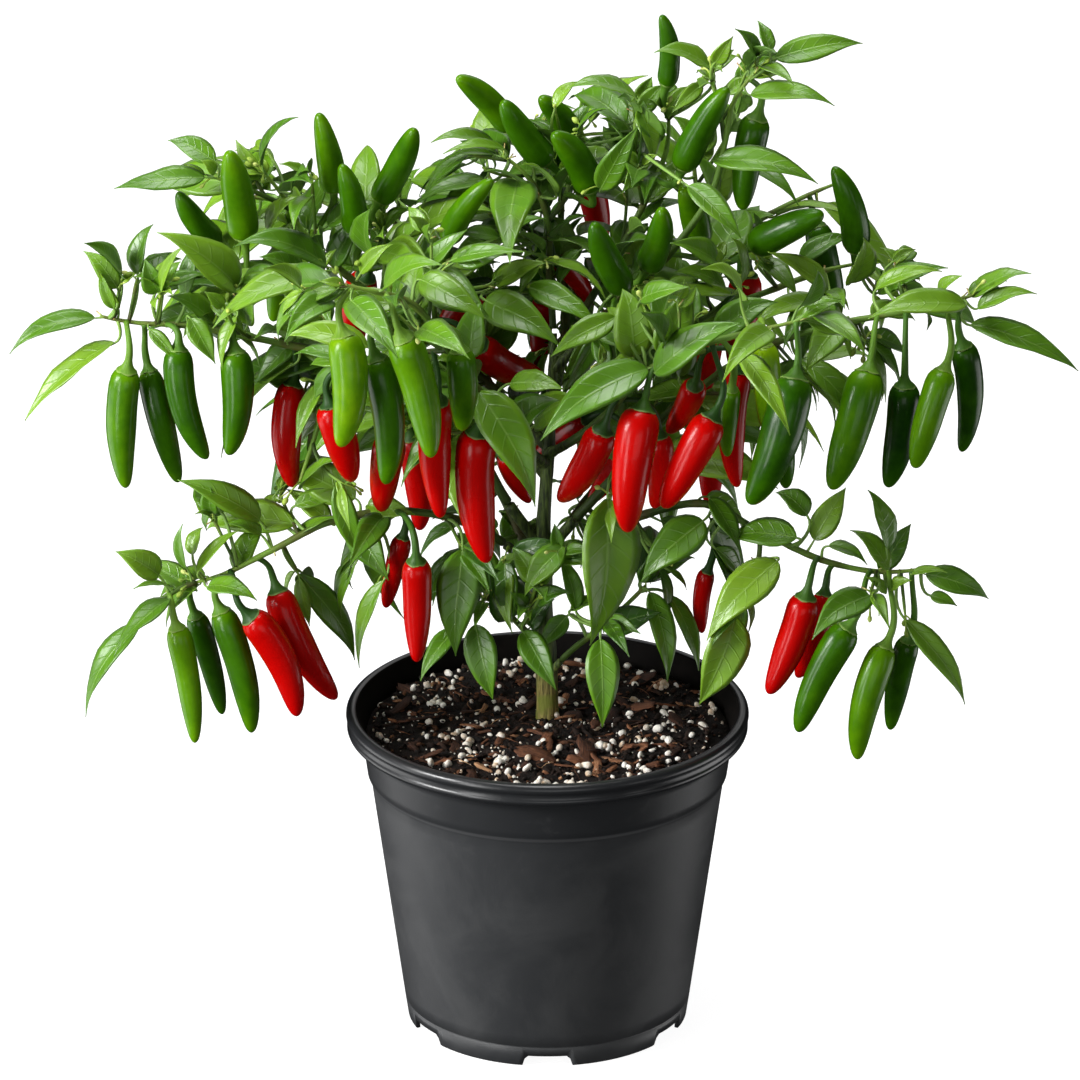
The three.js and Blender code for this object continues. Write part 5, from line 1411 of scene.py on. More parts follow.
SEEN_LEAVES = {
    "mid_left": [
        [-217, -30, 456, -203, -40, 490, 7], [-216, -24, 457, -192, -20, 464, 10],
        [-189, -10, 429, -214, -22, 452, 15], [-201, -24, 437, -187, -34, 415, 14],
        [-175, -26, 439, -183, -36, 413, 12], [-244, -24, 443, -251, -22, 466, 8],
        [-242, -20, 454, -261, -16, 476, 12], [-140, 6, 414, -166, 0, 388, 15],
        [-181, -14, 364, -164, -20, 329, 16], [-189, -14, 444, -170, -26, 431, 11],
        [-224, -16, 427, -209, -26, 411, 8],
    ],
    "low_left": [
        [-163, -26, 315, -209, -34, 345, 18], [-153, -18, 330, -114, -14, 349, 16],
        [-143, -14, 319, -114, -8, 325, 11], [-144, -16, 300, -114, -20, 316, 11],
        [-102, -6, 316, -75, -16, 316, 14], [-162, -30, 308, -182, -36, 319, 9],
        [-198, -38, 288, -174, -30, 313, 10], [-204, -38, 290, -206, -40, 321, 9],
        [-220, -42, 288, -244, -48, 307, 17], [-192, -44, 282, -164, -58, 282, 15],
        [-216, -42, 282, -234, -50, 284, 5], [-93, -14, 273, -107, -10, 222, 12],
        [-117, -20, 239, -112, -30, 220, 8], [-109, -12, 283, -117, -4, 246, 8],
        [-191, -26, 320, -193, -20, 307, 8], [-201, -36, 298, -195, -28, 313, 10],
        [-111, -20, 312, -90, -34, 285, 19],
    ],
    "low_right": [
        [92, -10, 322, 110, -24, 295, 14], [147, -26, 318, 129, -20, 331, 15],
        [159, -30, 301, 181, -36, 294, 11], [192, -32, 300, 181, -24, 335, 16],
        [193, -34, 288, 171, -28, 312, 14], [206, -36, 286, 226, -42, 291, 6],
        [217, -36, 273, 232, -40, 269, 8], [191, -36, 275, 180, -40, 287, 7],
        [194, -38, 278, 206, -44, 286, 9], [92, -22, 299, 105, -16, 268, 11],
        [57, 0, 290, 42, 6, 296, 8], [44, -4, 253, 58, -10, 245, 9], [69, -8, 277, 79, -2, 263, 5],
        [64, 0, 304, 81, 10, 285, 12],
    ],
    "mid_right": [
        [195, 20, 454, 208, 24, 461, 7], [201, 16, 451, 188, 22, 463, 7],
        [185, -10, 449, 222, -16, 466, 11], [180, -6, 416, 199, -10, 395, 10],
        [144, 14, 389, 169, 16, 357, 14], [220, -20, 451, 233, -26, 464, 9],
        [143, -16, 352, 155, -24, 328, 14], [86, 0, 366, 104, 8, 343, 14],
    ],
    "front_left": [
        [-54, -80, 494, -14, -96, 507, 11], [-71, -86, 485, -34, -110, 473, 19],
        [-21, -40, 404, 9, -52, 406, 16],
    ],
    "front_right": [
        [38, -60, 452, 2, -74, 435, 15], [52, -66, 465, 79, -80, 479, 14],
    ],
    "top_mid": [
        [-2, 20, 454, 33, 0, 443, 15], [-11, 6, 444, 30, -14, 431, 17],
    ],
    "top_centre": [
        [7, 24, 411, 24, 34, 381, 14], [30, 26, 410, 46, 36, 376, 14],
        [18, 40, 453, 7, 46, 421, 14],
    ],
    "back_left": [
        [-10, 40, 362, -24, 34, 333, 16], [-16, 52, 381, -30, 50, 358, 17],
        [-4, 30, 347, -18, 22, 326, 15], [-24, 60, 341, -39, 60, 320, 15],
    ],
    "back_mid": [
        [7, 60, 397, 24, 62, 370, 17], [4, 72, 410, -10, 70, 383, 17],
        [13, 50, 370, 30, 52, 345, 16], [-1, 62, 384, -16, 60, 360, 16],
        [7, 90, 412, 21, 90, 391, 16],
    ],
    "back_right": [
        [30, 60, 372, 53, 58, 348, 16], [24, 40, 362, 41, 36, 333, 16],
        [41, 70, 387, 64, 66, 364, 17], [16, 30, 354, 7, 22, 326, 15],
        [53, 70, 350, 69, 66, 323, 15],
    ],
    "back_low_left": [
        [-67, 30, 301, -49, 30, 280, 14], [-27, 40, 293, -11, 44, 271, 12],
        [-1, 50, 284, -16, 52, 258, 14], [-44, 60, 280, -27, 60, 257, 12],
        [-53, 60, 255, -67, 60, 230, 12], [-51, 20, 276, -62, 20, 268, 8],
        [-23, 40, 293, -16, 36, 267, 14],
    ],
    "back_low_right": [
        [45, 40, 276, 59, 40, 257, 12], [7, 30, 261, 19, 30, 236, 12],
        [24, 50, 268, 37, 52, 240, 14], [41, 30, 243, 61, 26, 227, 12],
        [16, 60, 280, 30, 60, 255, 14], [16, 36, 265, 5, 30, 241, 12],
    ],
    "shoot_left": [
        [9, -30, 301, -13, -38, 275, 17], [-24, -20, 288, -20, -30, 254, 16],
    ],
    "shoot_right": [
        [13, -26, 260, 37, -34, 269, 11], [11, -16, 252, -5, -24, 236, 12],
    ],
}
EXTRA_EASE = 0.3
SHARE_OUTSIDE = 0.1
BACK_SHARE_OUTSIDE = 0.6
SHARE_OVER_FRUIT = 0.06
SHARE_OVER_LEAVES = 0.2
LONGEST_STALK = 46
LOWEST_LEAF = 238
HIGHEST_LEAF = 592
CROWN_CENTRE = -2
CROWN_REACH = 297
SHOOT_APART = 30
SHOOT_LENGTH = [24, 50]
SHOOT_RADIUS = 1.25
SHOOT_TURNS = [0, 0.8, -0.8, 1.6, -1.6, 2.4]
SHOOT_REST = 12
THIN_CROWN_SHARE = 0.85
EXTRA_APART = 14
EXTRA_REACH = [32, 68]
EXTRA_YOUTH = [0.08, 0.52]
EXTRA_STALK = [0.12, 0.3]
EXTRA_WIDTH = [0.32, 0.44]
EXTRA_BEND = [0.5, 1.2]
EXTRA_ROLL = [-0.4, 0.4]
EXTRA_DIP = [-0.1, 0.3]
EXTRA_TURNS = [0, 0.9, -0.9, 1.8, -1.8, 2.7]
SPARSE_SHARE = 0.2
TUFT_REACH = [14, 36]
TUFT_COUNT = 5
TUFT_STEM = 30
TABLE_YOUTH = [0.14, 0.56]
LOW_HEIGHT = 320
FULL_CROWN = 335
INNER_CROWN = [-172, 105]
AIRY_TOP = 500
AIRY_SHARE = 0.4
TWIG_FROM = 22
SIGHT = np.array([0, cos(CAMERA_TILT), -sin(CAMERA_TILT)])
SIGHT_UP = np.array([0, sin(CAMERA_TILT), cos(CAMERA_TILT)])
CELL = 3
NET = 240
growth = np.random.default_rng(52)


def cells(points):
    """Which cell of a net square to the line of sight each point lies in."""
    off = points - AIM
    near = camera_distance / (camera_distance + off @ SIGHT)
    at = np.stack([off[:, 0] * near, off @ SIGHT_UP * near], 1) / CELL + NET / 2
    return tuple(np.clip(at, 0, NET - 1).astype(int).T)


def keep_in_sight(net, points):
    """Keeps in the net how near each cell's nearest point is."""
    for x, v, depth in zip(*cells(points), points @ SIGHT):
        net[x, v] = depth if net[x, v] == -np.inf else min(net[x, v], depth)


fruit_net = np.full((NET, NET), -np.inf)
leaf_net = np.full((NET, NET), -np.inf)
net_x, net_level = (np.indices((NET, NET)) + 0.5 - NET / 2) * CELL
outside = np.ones((NET, NET), bool)
for (x, level), (last_x, last_level) in zip(CROWN_EDGE, [CROWN_EDGE[-1], *CROWN_EDGE]):
    if level != last_level:
        crossing = (net_level < level) != (net_level < last_level)
        aside = (net_level - level) * (last_x - x) / (last_level - level)
        outside ^= crossing & (net_x < x + aside)
for x, level, radius in DAYLIGHT:
    outside |= (net_x - x) ** 2 + (net_level - level) ** 2 < radius ** 2
for branch in branches:
    for chilli in branch.chillies:
        if chilli.red or not branch.name.startswith("back"):
            for share in np.linspace(-0.05, 1, 14):
                ring = [(cos(t) * r, sin(t) * r) for t in turns_round(12) for r in (0.5, 1)]
                spread = np.array(ring) * chilli.radius * 1.1
                middle = chilli.middle(share)
                spread = middle + spread[:, :1] * [1, 0, 0] + spread[:, 1:] * SIGHT_UP
                keep_in_sight(fruit_net, spread)


def fits_view(points):
    """Whether new growth stays inside the bush's outline and doesn't hide fruit or front leaves."""
    x, y, height = points.T
    if (height > HIGHEST_LEAF).any() or (height < LOWEST_LEAF).any():
        return False
    if (np.abs(x - CROWN_CENTRE) > CROWN_REACH).any() or (np.abs(y) > CANOPY_DEPTH - 3).any():
        return False
    where, depth = cells(points), points @ SIGHT
    return (outside[where].mean() < SHARE_OUTSIDE
            and (depth < fruit_net[where]).mean() < SHARE_OVER_FRUIT
            and (depth < leaf_net[where]).mean() < SHARE_OVER_LEAVES)


def is_full(at):
    """Whether leaves stand close together here: inside the crown, but not out at its top."""
    inner = at[2] > FULL_CROWN and INNER_CROWN[0] < at[0] < INNER_CROWN[1]
    return inner and (at[2] < AIRY_TOP or growth.random() < AIRY_SHARE)


def painted_leaf_shade(foot, reach, share):
    """How much a leaf's tone is lowered as painted shade, where it stands low and close to the
    trunk.
    """
    return share if foot[2] < LOW_HEIGHT and abs(foot[0]) < reach else 0


for branch in branches:
    table_leaves = len(branch.leaves)
    for rows in (missed_leaves, SEEN_LEAVES):
        for row in rows.get(branch.name, []):
            bend, roll = growth.uniform(*BLADE_BEND), growth.uniform(*BLADE_ROLL)
            branch.try_seen_leaf(row, bend, roll, EXTRA_EASE)
    branch.leaves[table_leaves:] = [leaf for leaf in branch.leaves[table_leaves:]
                                    if norm(leaf[1].foot - leaf[0]) < LONGEST_STALK]
for branch in branches:
    if branch.name.startswith("back"):
        branch.leaves = [leaf for leaf in branch.leaves
                         if outside[cells(leaf[1].samples()[0])].mean() < BACK_SHARE_OUTSIDE]
    for _, blade in branch.leaves:
        keep_in_sight(leaf_net, blade.samples()[0])
for branch in branches:
    for leaf in branch.leaves:
        # A leaf's youth, less painted shade where it stands low near the trunk.
        leaf.append(growth.uniform(*TABLE_YOUTH) - painted_leaf_shade(leaf[1].foot, 95, 0.06))
    grown_stems = list(branch.stems)
    for root, blade, _ in branch.leaves:
        twig = blade.foot - root
        if norm(twig) > TWIG_FROM:
            course = [root, root + twig * 0.5, root + twig * 0.9]
            branch.stems.append((course, [SHOOT_RADIUS, 1.1, 1]))
    for s, (points, _) in enumerate(grown_stems):
        total = stem_length(points)
        run = (0.1 if s == 0 else 0.3) * total
        k = s
        while run < total - SHOOT_REST:
            at, way = place_on(points, run)
            run += SHOOT_APART * growth.uniform(0.8, 1.2)
            k += 1
            length = growth.uniform(*SHOOT_LENGTH)
            lean = growth.uniform(0.5, 1)
            if not is_full(at) and (at[2] < FULL_CROWN or growth.random() < THIN_CROWN_SHARE):
                continue
            for more in SHOOT_TURNS:
                heading = unit(square_to(way, k * GOLDEN_ANGLE + more) + way * lean + UP * 0.3)
                side = unit(np.cross(heading, UP)) * growth.uniform(-4, 4)
                shoot = [at, at + heading * length / 2 + side, at + heading * length + UP * 4]
                bars = chain(shoot, [SHOOT_RADIUS] * 3, branch.owner)
                if bars_clear(bars[1:], EXTRA_EASE) and fits_view(np.array(shoot)):
                    add_bars(bars)
                    branch.stems.append((shoot, [SHOOT_RADIUS * taper for taper in (1, 0.85, 0.7)]))
                    break
    for s, (points, _) in enumerate(branch.stems):
        total = stem_length(points)
        spots = []
        run = (0.07 if s == 0 else 0.15) * total
        while run < total - TIP_REST:
            at, _ = place_on(points, run)
            if is_full(at) or growth.random() < SPARSE_SHARE:
                reach = growth.uniform(*EXTRA_REACH)
                spots.append((run, reach, RULE_LEAN, growth.uniform(*EXTRA_YOUTH)))
            run += EXTRA_APART * growth.uniform(0.7, 1.3)
        for k in range(TUFT_COUNT if total > TUFT_STEM else TUFT_COUNT - 2):
            reach = growth.uniform(*TUFT_REACH)
            spots.append((total - 1 - WHORL_STEP * k * 0.7, reach, WHORL_LEAN, 0.95 - reach / 45))
        for k, (run, reach, lean, youth) in enumerate(spots):
            at, way = place_on(points, run)
            turn = k * GOLDEN_ANGLE + growth.uniform(-0.5, 0.5)
            stalk = reach * growth.uniform(*EXTRA_STALK)
            width = reach * growth.uniform(*EXTRA_WIDTH)
            bend = growth.uniform(*EXTRA_BEND)
            roll = growth.uniform(*EXTRA_ROLL)
            for more in EXTRA_TURNS:
                heading = unit(square_to(way, turn + more) + way * lean)
                heading = unit(heading - UP * growth.uniform(*EXTRA_DIP))
                foot = at + heading * stalk
                tip = foot + heading * reach - UP * RULE_DROOP * reach
                if not fits_view(Blade(foot, tip, width, bend, roll).samples()[0]):
                    continue
                if branch.try_leaf(foot, tip, width, bend, roll, EXTRA_EASE):
                    branch.leaves[-1].append(youth - painted_leaf_shade(foot, 130, 0.2))
                    break

# The branches' stems: green and faintly ribbed, a little swollen where a leaf or a fruit stalk
# leaves, darker and browner near the trunk and yellow green towards their tips.
STEM_SIDES = 10
STEM_SLIM = [0.8, 0.88]
STEM_RIDGES = 0.05
TIP_THINNING = 0.35


def branch_piece(heap, branch, kind, look):
    """A piece of one branch, which stands for part of that branch's CAD node."""
    if heap.points:
        heap.piece(branch.name + kind, look, "foliage", "leafy_branch_" + branch.name)


stem_look = Look("green_stems", Specular_IOR_Level=0.35)
stem_age = stem_look.attribute("youth")
stem_shift = stem_look.attribute("streak", out="Vector")
stem_streak = stem_look.noise(1, 4, 0.6, at=stem_shift)
stem_patch = stem_look.noise(70, 3, 0.6)
stem_colour = stem_look.ramp(
    stem_age + (stem_streak - 0.5) * 0.5,
    (0, srgb(40, 48, 18)), (0.35, srgb(56, 80, 24)), (0.75, srgb(92, 130, 38)),
    (1, srgb(132, 166, 58)),
)
stem_joint = stem_look.attribute("joint")
stem_brown = stem_joint * stem_look.ease(stem_patch, 0.35, 0.6) * 0.6
stem_look.shade(
    Base_Color=stem_look.mix(stem_brown, stem_colour, srgb(84, 62, 36)),
    Roughness=0.46 + stem_patch * 0.2,
    bump=stem_streak,
    strength=0.5,
    depth=0.5,
)


def swell(line, runs, spots):
    """How close each point of a line is to the nearest joint, from 0 to 1."""
    near = np.zeros(len(line))
    for spot in spots:
        near = np.maximum(near, np.exp(-(norm(line - spot, axis=1) / NODE_REACH) ** 2))
    return near


for branch in branches:
    heap = Heap()
    roots = [root for root, *_ in branch.leaves] + [chilli.root for chilli in branch.chillies]
    branch.lines = []
    for s, (points, radii) in enumerate(branch.stems):
        if s == 0:
            keep = branch.runs >= branch.cut_at + GAP
            line, runs = branch.line[keep], branch.runs[keep]
            thickness = np.interp(runs, branch.knots, radii) * STEM_SLIM[0]
        else:
            line, runs, knots = curve_through(points)
            thickness = np.interp(runs, knots, radii) * STEM_SLIM[1]
        joints = swell(line, runs, roots)
        share = runs / runs[-1]
        tip_thin = 1 - TIP_THINNING * np.clip((share - 0.85) / 0.15, 0, 1)
        radii = thickness * tip_thin * (1 + NODE_SWELL * joints)
        rings = tube_rings(line, radii, STEM_SIDES, ridges=STEM_RIDGES)
        angles = turns_round(STEM_SIDES)
        round_way = np.stack([np.cos(angles), np.sin(angles)], 1) * 2.2
        streak = [[(c, d, run * 0.05 + s * 7) for c, d in round_way] for run in runs]
        grown = 0.25 + 0.75 * share if s else 0.08 + 0.85 * share
        youth, joint = (np.repeat(values[:, None], STEM_SIDES, 1) for values in (grown, joints))
        heap.loft(rings, youth=youth, joint=joint, streak=streak)
        branch.lines.append(line)
    branch_piece(heap, branch, "_stems", stem_look)

# The leaves: thin pointed blades folded along the midrib, with a rib underneath that runs on into
# the leaf stalk, faint side veins, soft waves along the edges and a tip drawn out to a point.
BLADE_ROWS = 14
BLADE_ACROSS = [-1, -0.68, -0.34, 0, 0.34, 0.68, 1]
BLADE_THIN = 0.28
RIB_SIDES = 5
RIB_RADIUS = [0.72, 0.16]
VEIN_COUNT = 7
VEIN_SLANT = 0.13
BLADE_NARROW = 0.54
LEAST_HALF_WIDTH = 0.35
TIP_SHARE = 0.72

leaf_look = Look("leaf_skin", Specular_IOR_Level=0.62, Sheen_Weight=0.07, Sheen_Roughness=0.4)
leaf_along = leaf_look.attribute("along")
leaf_across = leaf_look.attribute("across")
leaf_under = leaf_look.attribute("under")
# The leaves' youth also carries painted shade: leaves low and close to the trunk get a darker tone.
leaf_youth_and_painted_shade = leaf_look.attribute("youth")
leaf_patch = leaf_look.noise(55, 3, 0.55)
leaf_cells = leaf_look.noise(520, 3, 0.6)
side_way = abs(leaf_across)
vein_phase = (leaf_along - side_way * VEIN_SLANT - side_way ** 2 * 0.05) * VEIN_COUNT
vein_off = abs(vein_phase % 1 - 0.5)
side_vein = leaf_look.ease(vein_off, 0.40, 0.5) * leaf_look.ease(side_way, 0.98, 0.55)
mid_vein = leaf_look.ease(side_way, 0.075, 0.01)
leaf_top = leaf_look.ramp(
    leaf_youth_and_painted_shade + (leaf_patch - 0.5) * 0.35 + side_way * 0.05,
    (0, srgb(44, 86, 2)), (0.3, srgb(80, 126, 11)), (0.62, srgb(116, 156, 28)),
    (0.85, srgb(152, 188, 46)), (1, srgb(182, 208, 62)),
)
leaf_below = leaf_look.ramp(
    leaf_youth_and_painted_shade + (leaf_patch - 0.5) * 0.3,
    (0, srgb(74, 112, 34)), (0.5, srgb(108, 150, 48)), (1, srgb(170, 204, 80)),
)
leaf_colour = leaf_look.mix(leaf_under, leaf_top, leaf_below)
leaf_colour = leaf_look.mix(side_vein * 0.08, leaf_colour, srgb(126, 164, 74))
leaf_colour = leaf_look.mix(mid_vein * 0.3, leaf_colour, srgb(142, 178, 86))
leaf_look.shade(
    Base_Color=leaf_colour,
    Roughness=0.29 + leaf_cells * 0.14 + leaf_under * 0.2,
    bump=leaf_cells * 0.2 - side_vein * 0.35 - mid_vein * 0.3 + leaf_patch * 0.5,
    strength=0.5,
    depth=0.9,
)
shapes = np.random.default_rng(3)


def blade_width(blade, share):
    """Half the blade's width: it tapers into the stalk at the foot and runs out to a fine tip."""
    half = blade.width * BLADE_NARROW * max(blade.outline(share), 0) ** 0.88
    return half * (1 - 0.16 * np.clip((share - TIP_SHARE) / 0.28, 0, 1))


def grow_blade(heap, blade, youth):
    """Adds the blade to the heap and gives back the line of its midrib."""
    fold = BLADE_FOLD * shapes.uniform(0.75, 1.45)
    wave = blade.width * shapes.uniform(0.015, 0.06)
    waves = shapes.uniform(1.2, 2.6)
    starts = shapes.uniform(0, 2 * pi, 2)
    twist = shapes.uniform(-0.35, 0.35)
    droop = blade.length * shapes.uniform(0.02, 0.10)
    sweep = blade.length * shapes.uniform(-0.05, 0.05)
    arch = shapes.uniform(0.1, 0.34)
    shares = 0.5 - 0.5 * np.cos(np.pi * np.linspace(0.02, 0.985, BLADE_ROWS))
    rings, rib = [], []
    a = np.array(BLADE_ACROSS)
    side_waves = np.where(a < 0, starts[0], starts[1])
    for share in shares:
        at, way, up, side = blade.frame(share)
        turn = twist * share
        c, s = cos(turn), sin(turn)
        side, up = side * c + up * s, up * c - side * s
        half = max(blade_width(blade, share), LEAST_HALF_WIDTH)
        folding = fold * (1.25 - 0.5 * sin(pi * share ** 0.8))
        flat = half * a * cos(folding)
        lift = np.abs(a) * sin(folding) * (1 + arch) - arch * a * a * sin(folding) * 1.6
        lift *= half
        waving = wave * np.abs(a) ** 1.6 * np.sin(2 * pi * waves * share + side_waves)
        lift += waving * sin(pi * share)
        quilt = np.sin(2 * pi * VEIN_COUNT * (share - VEIN_SLANT * np.abs(a)))
        lift += 0.012 * half * quilt * np.sin(np.pi * np.abs(a))
        centre = at - UP * droop * max(share - 0.55, 0) ** 2 * 5
        centre = centre + side * sweep * sin(pi * share) * share
        top = centre + side * flat[:, None] + up * lift[:, None]
        thin = BLADE_THIN * (1 - 0.6 * a * a)
        run, rise = np.gradient(flat), np.gradient(lift)
        down = side * rise[:, None] - up * run[:, None]
        bottom = (top + down * (thin / np.hypot(run, rise))[:, None])[-2:0:-1]
        rings.append(np.concatenate([top, bottom]))
        rib.append(centre - up * BLADE_THIN)
    across = [*a, *a[-2:0:-1]]
    under = [0] * len(a) + [1] * (len(a) - 2)
    heap.loft(rings, under_from=len(a) - 1, along=np.repeat(shares[:, None], len(across), 1),
              across=[across] * BLADE_ROWS, under=[under] * BLADE_ROWS, youth=youth)
    return np.array(rib)


def bow_line(start, bow, end, shares):
    """A bent line that leaves its start towards the bow and comes from there to its end."""
    return (1 - shares) ** 2 * start + 2 * shares * (1 - shares) * bow + shares ** 2 * end


def nearest_on_lines(lines, place):
    """The nearest of the places that the stems' smooth lines are drawn through."""
    return min((line[np.argmin(norm(line - place, axis=1))] for line in lines),
               key=lambda at: norm(at - place))


def grow_stalk(heap, root, rib, youth):
    """The leaf stalk, which carries on under the blade as its midrib."""
    way = unit(rib[2] - rib[0])
    span = norm(rib[0] - root)
    stalk = bow_line(root, rib[0] - way * span * 0.45, rib[0], np.linspace(0, 1, 7)[:-1, None])
    line = np.concatenate([stalk, rib[:-3:2]])
    size = min(1, 0.45 + span / 30)
    stalk_radii = np.linspace(STALK_RADIUS * 1.15, STALK_RADIUS * 0.75, len(stalk))
    rib_radii = np.linspace(*RIB_RADIUS, len(line) - len(stalk))
    rings = tube_rings(line, np.concatenate([stalk_radii, rib_radii]) * size, RIB_SIDES)
    heap.loft(rings, along=0, across=0, under=1, youth=min(youth + 0.1, 1))


for branch in branches:
    heap = Heap()
    for root, blade, youth in branch.leaves:
        rib = grow_blade(heap, blade, youth)
        grow_stalk(heap, nearest_on_lines(branch.lines, root), rib, youth)
    branch_piece(heap, branch, "_leaves", leaf_look)

# The chillies: smooth fleshy pods with round shoulders and a blunt tip, each hanging from a curved
# stalk that widens into a cap. Unripe ones are green and ripe ones red, with a tight glossy skin.
POD_SIDES = 28
POD_PROFILE = [
    (0, 0.5), (0.008, 0.66), (0.03, 0.80), (0.07, 0.93), (0.13, 0.995), (0.22, 1.0),
    (0.35, 0.985), (0.5, 0.945), (0.63, 0.87), (0.74, 0.77), (0.83, 0.655), (0.9, 0.53),
    (0.945, 0.415), (0.972, 0.31), (0.988, 0.205), (0.997, 0.1), (1, 0.02),
]
CAP_SIDES = 20
CAP_PROFILE = [
    (-0.66, 0.30), (-0.46, 0.36), (-0.29, 0.44), (-0.16, 0.53), (-0.06, 0.62), (0.03, 0.685),
    (0.07, 0.7), (0.08, 0.68), (0.0, 0.56),
]
CAP_LOBES = 5
PEDICEL_ROWS = 14
GREEN_TONES = {
    "front_left": [0.28, 0.66, 0.4, 0.55], "front_right": [0, 0, 0, 0.2, 0.8, 0.5],
    "mid_right": [0.55, 0.95, 0.45, 0.85], "mid_left": [0.5, 0.68, 0.7, 0.66],
    "low_left": [0.36, 0.78, 0.62], "low_right": [0, 0, 0.66, 0.46, 0.75],
}
pods = np.random.default_rng(17)


class PodSkin(Look):
    """Tight glossy skin over soft ripples, with colours that run along a tone."""

    def __init__(self, name, specular, coat_roughness, patch_scale, roughness, coat):
        super().__init__(name, Specular_IOR_Level=specular, Coat_IOR=1.4)
        self.shade(Coat_Roughness=coat_roughness)
        self.tone = self.attribute("tone")
        self.patch = self.noise(patch_scale, 3, 0.5)
        self.fleck = self.noise(900, 3, 0.6)
        self.ripple = self.noise(190, 2, 0.5)
        self.roughness = roughness
        self.coat = coat

    def paint(self, tone, *stops):
        self.shade(
            Base_Color=self.ramp(tone, *stops),
            Roughness=self.roughness[0] + self.patch * self.roughness[1],
            Coat_Weight=self.coat[0] + self.patch * self.coat[1],
            bump=self.fleck * 0.12 + self.ripple * 0.3 + self.patch,
            strength=0.4,
            depth=1.4,
        )


green_look = PodSkin("green_pod_skin", 0.18, 0.13, 48, (0.24, 0.13), (0.12, 0.26))
green_along = green_look.attribute("along")
green_look.paint(
    green_look.tone + (green_look.patch - 0.5) * 0.45 + (green_look.ripple - 0.5) * 0.2
    - green_look.ease(green_along, 0.72, 1) * 0.12 - green_look.ease(green_along, 0.12, 0.0) * 0.14,
    (0, srgb(132, 172, 6)), (0.28, srgb(88, 136, 2)), (0.6, srgb(52, 100, 0)),
    (0.85, srgb(30, 70, 0)), (1, srgb(16, 50, 3)),
)
red_look = PodSkin("red_pod_skin", 0.12, 0.11, 44, (0.22, 0.12), (0.1, 0.24))
red_look.paint(
    red_look.tone + (red_look.patch - 0.5) * 0.35,
    (0, srgb(182, 2, 0)), (0.4, srgb(152, 1, 0)), (0.75, srgb(100, 0, 1)), (1, srgb(64, 0, 2)),
)

cap_look = Look("fruit_stalk_and_cap", Specular_IOR_Level=0.28)
cap_rim = cap_look.attribute("rim")
cap_tone = cap_look.attribute("tone")
cap_rib = cap_look.attribute("streak", out="Vector")
cap_streak = cap_look.noise(1, 3, 0.6, at=cap_rib)
cap_colour = cap_look.ramp(
    cap_tone + (cap_streak - 0.5) * 0.45,
    (0, srgb(124, 160, 48)), (0.5, srgb(74, 118, 30)), (1, srgb(34, 68, 18)),
)
cap_look.shade(
    Base_Color=cap_look.mix(cap_rim * 0.35, cap_colour, srgb(164, 184, 104)),
    Roughness=0.42 + cap_streak * 0.15,
    bump=cap_streak,
    strength=0.4,
    depth=0.5,
)


def grow_pod(heap, chilli, tone):
    """The fleshy pod, a little uneven round its bowed middle line."""
    known, girths = np.array(POD_PROFILE).T
    shares = np.unique(np.concatenate([known[:5], np.linspace(0.18, 0.8, 15), known[-8:]]))
    fat = pods.uniform(-0.03, 0.04)
    girth = np.interp(shares, known, girths) + fat * np.sin(np.pi * shares)
    turn = pods.uniform(0, 2 * pi, 4)
    angles = turns_round(POD_SIDES)
    side = unit(np.cross(chilli.axis, [0.3, 0.8, 0.5]))
    rings = []
    for share, size in zip(shares, girth):
        dents = 1 + 0.018 * np.sin(2 * angles + turn[0] + share * 2)
        dents += 0.014 * np.sin(3 * angles + turn[1] - share * 3)
        dents += 0.02 * sin(share * 9 + turn[2]) * sin(pi * share)
        reach = chilli.radius * size * dents
        way = unit(chilli.middle(share + 0.01) - chilli.middle(share - 0.01))
        a = unit(side - way * (side @ way))
        rings.append(ring_round(chilli.middle(share), a, np.cross(way, a), reach, angles))
    heap.loft(rings, along=np.repeat(shares[:, None], POD_SIDES, 1), tone=tone)


def grow_cap(heap, chilli, root, tone):
    """The fruit stalk, which bends over from the stem, and the cap it widens into."""
    axis, neck, radius = chilli.axis, chilli.neck, chilli.radius
    way = unit(chilli.middle(0.02) - chilli.middle(0))
    top = neck - way * CALYX_LENGTH * 0.9
    span = norm(top - root)
    first = unit(top - root + UP * span * (0.55 if axis[2] < 0 else 0.1))
    s = np.linspace(0, 1, PEDICEL_ROWS)[:, None]
    lead = span * 0.5
    stalk = ((1 - s) ** 3 * root + 3 * s * (1 - s) ** 2 * (root + first * lead)
             + 3 * s * s * (1 - s) * (top - way * lead * 0.8) + s ** 3 * top)
    thick = np.linspace(0, 1, PEDICEL_ROWS) ** 1.5
    thick = PEDICEL_RADIUS + (COLLAR_RADIUS - PEDICEL_RADIUS) * thick
    thick[0] *= 1.25
    cap = [neck + way * CALYX_LENGTH * a for a, _ in CAP_PROFILE]
    fat = [b * radius for _, b in CAP_PROFILE]
    fat[:3] = [max(b, COLLAR_RADIUS + 0.2 * k) for k, b in enumerate(fat[:3])]
    line = np.concatenate([stalk, cap])
    radii = np.concatenate([thick, fat])
    rings = tube_rings(line, radii, CAP_SIDES, ridges=0.02, turn=pods.uniform(0, 6))
    angles = turns_round(CAP_SIDES)
    lobes = pods.uniform(0, 2 * pi)
    for k, lobe in ((-4, 0.35), (-3, 0.8), (-2, 1), (-1, 0.6)):
        rings[k] += way * (lobe * 0.6 * np.cos(CAP_LOBES * angles + lobes))[:, None]
    runs = np.concatenate([[0], np.cumsum(norm(np.diff(line, axis=0), axis=1))])
    streak = [[(cos(t) * 3, sin(t) * 3, run * 0.06 + tone * 9) for t in angles]
              for run in runs]
    rim = np.zeros((len(line), CAP_SIDES))
    rim[-4:-1] = 1
    heap.loft(rings, rim=rim, streak=streak, tone=tone)


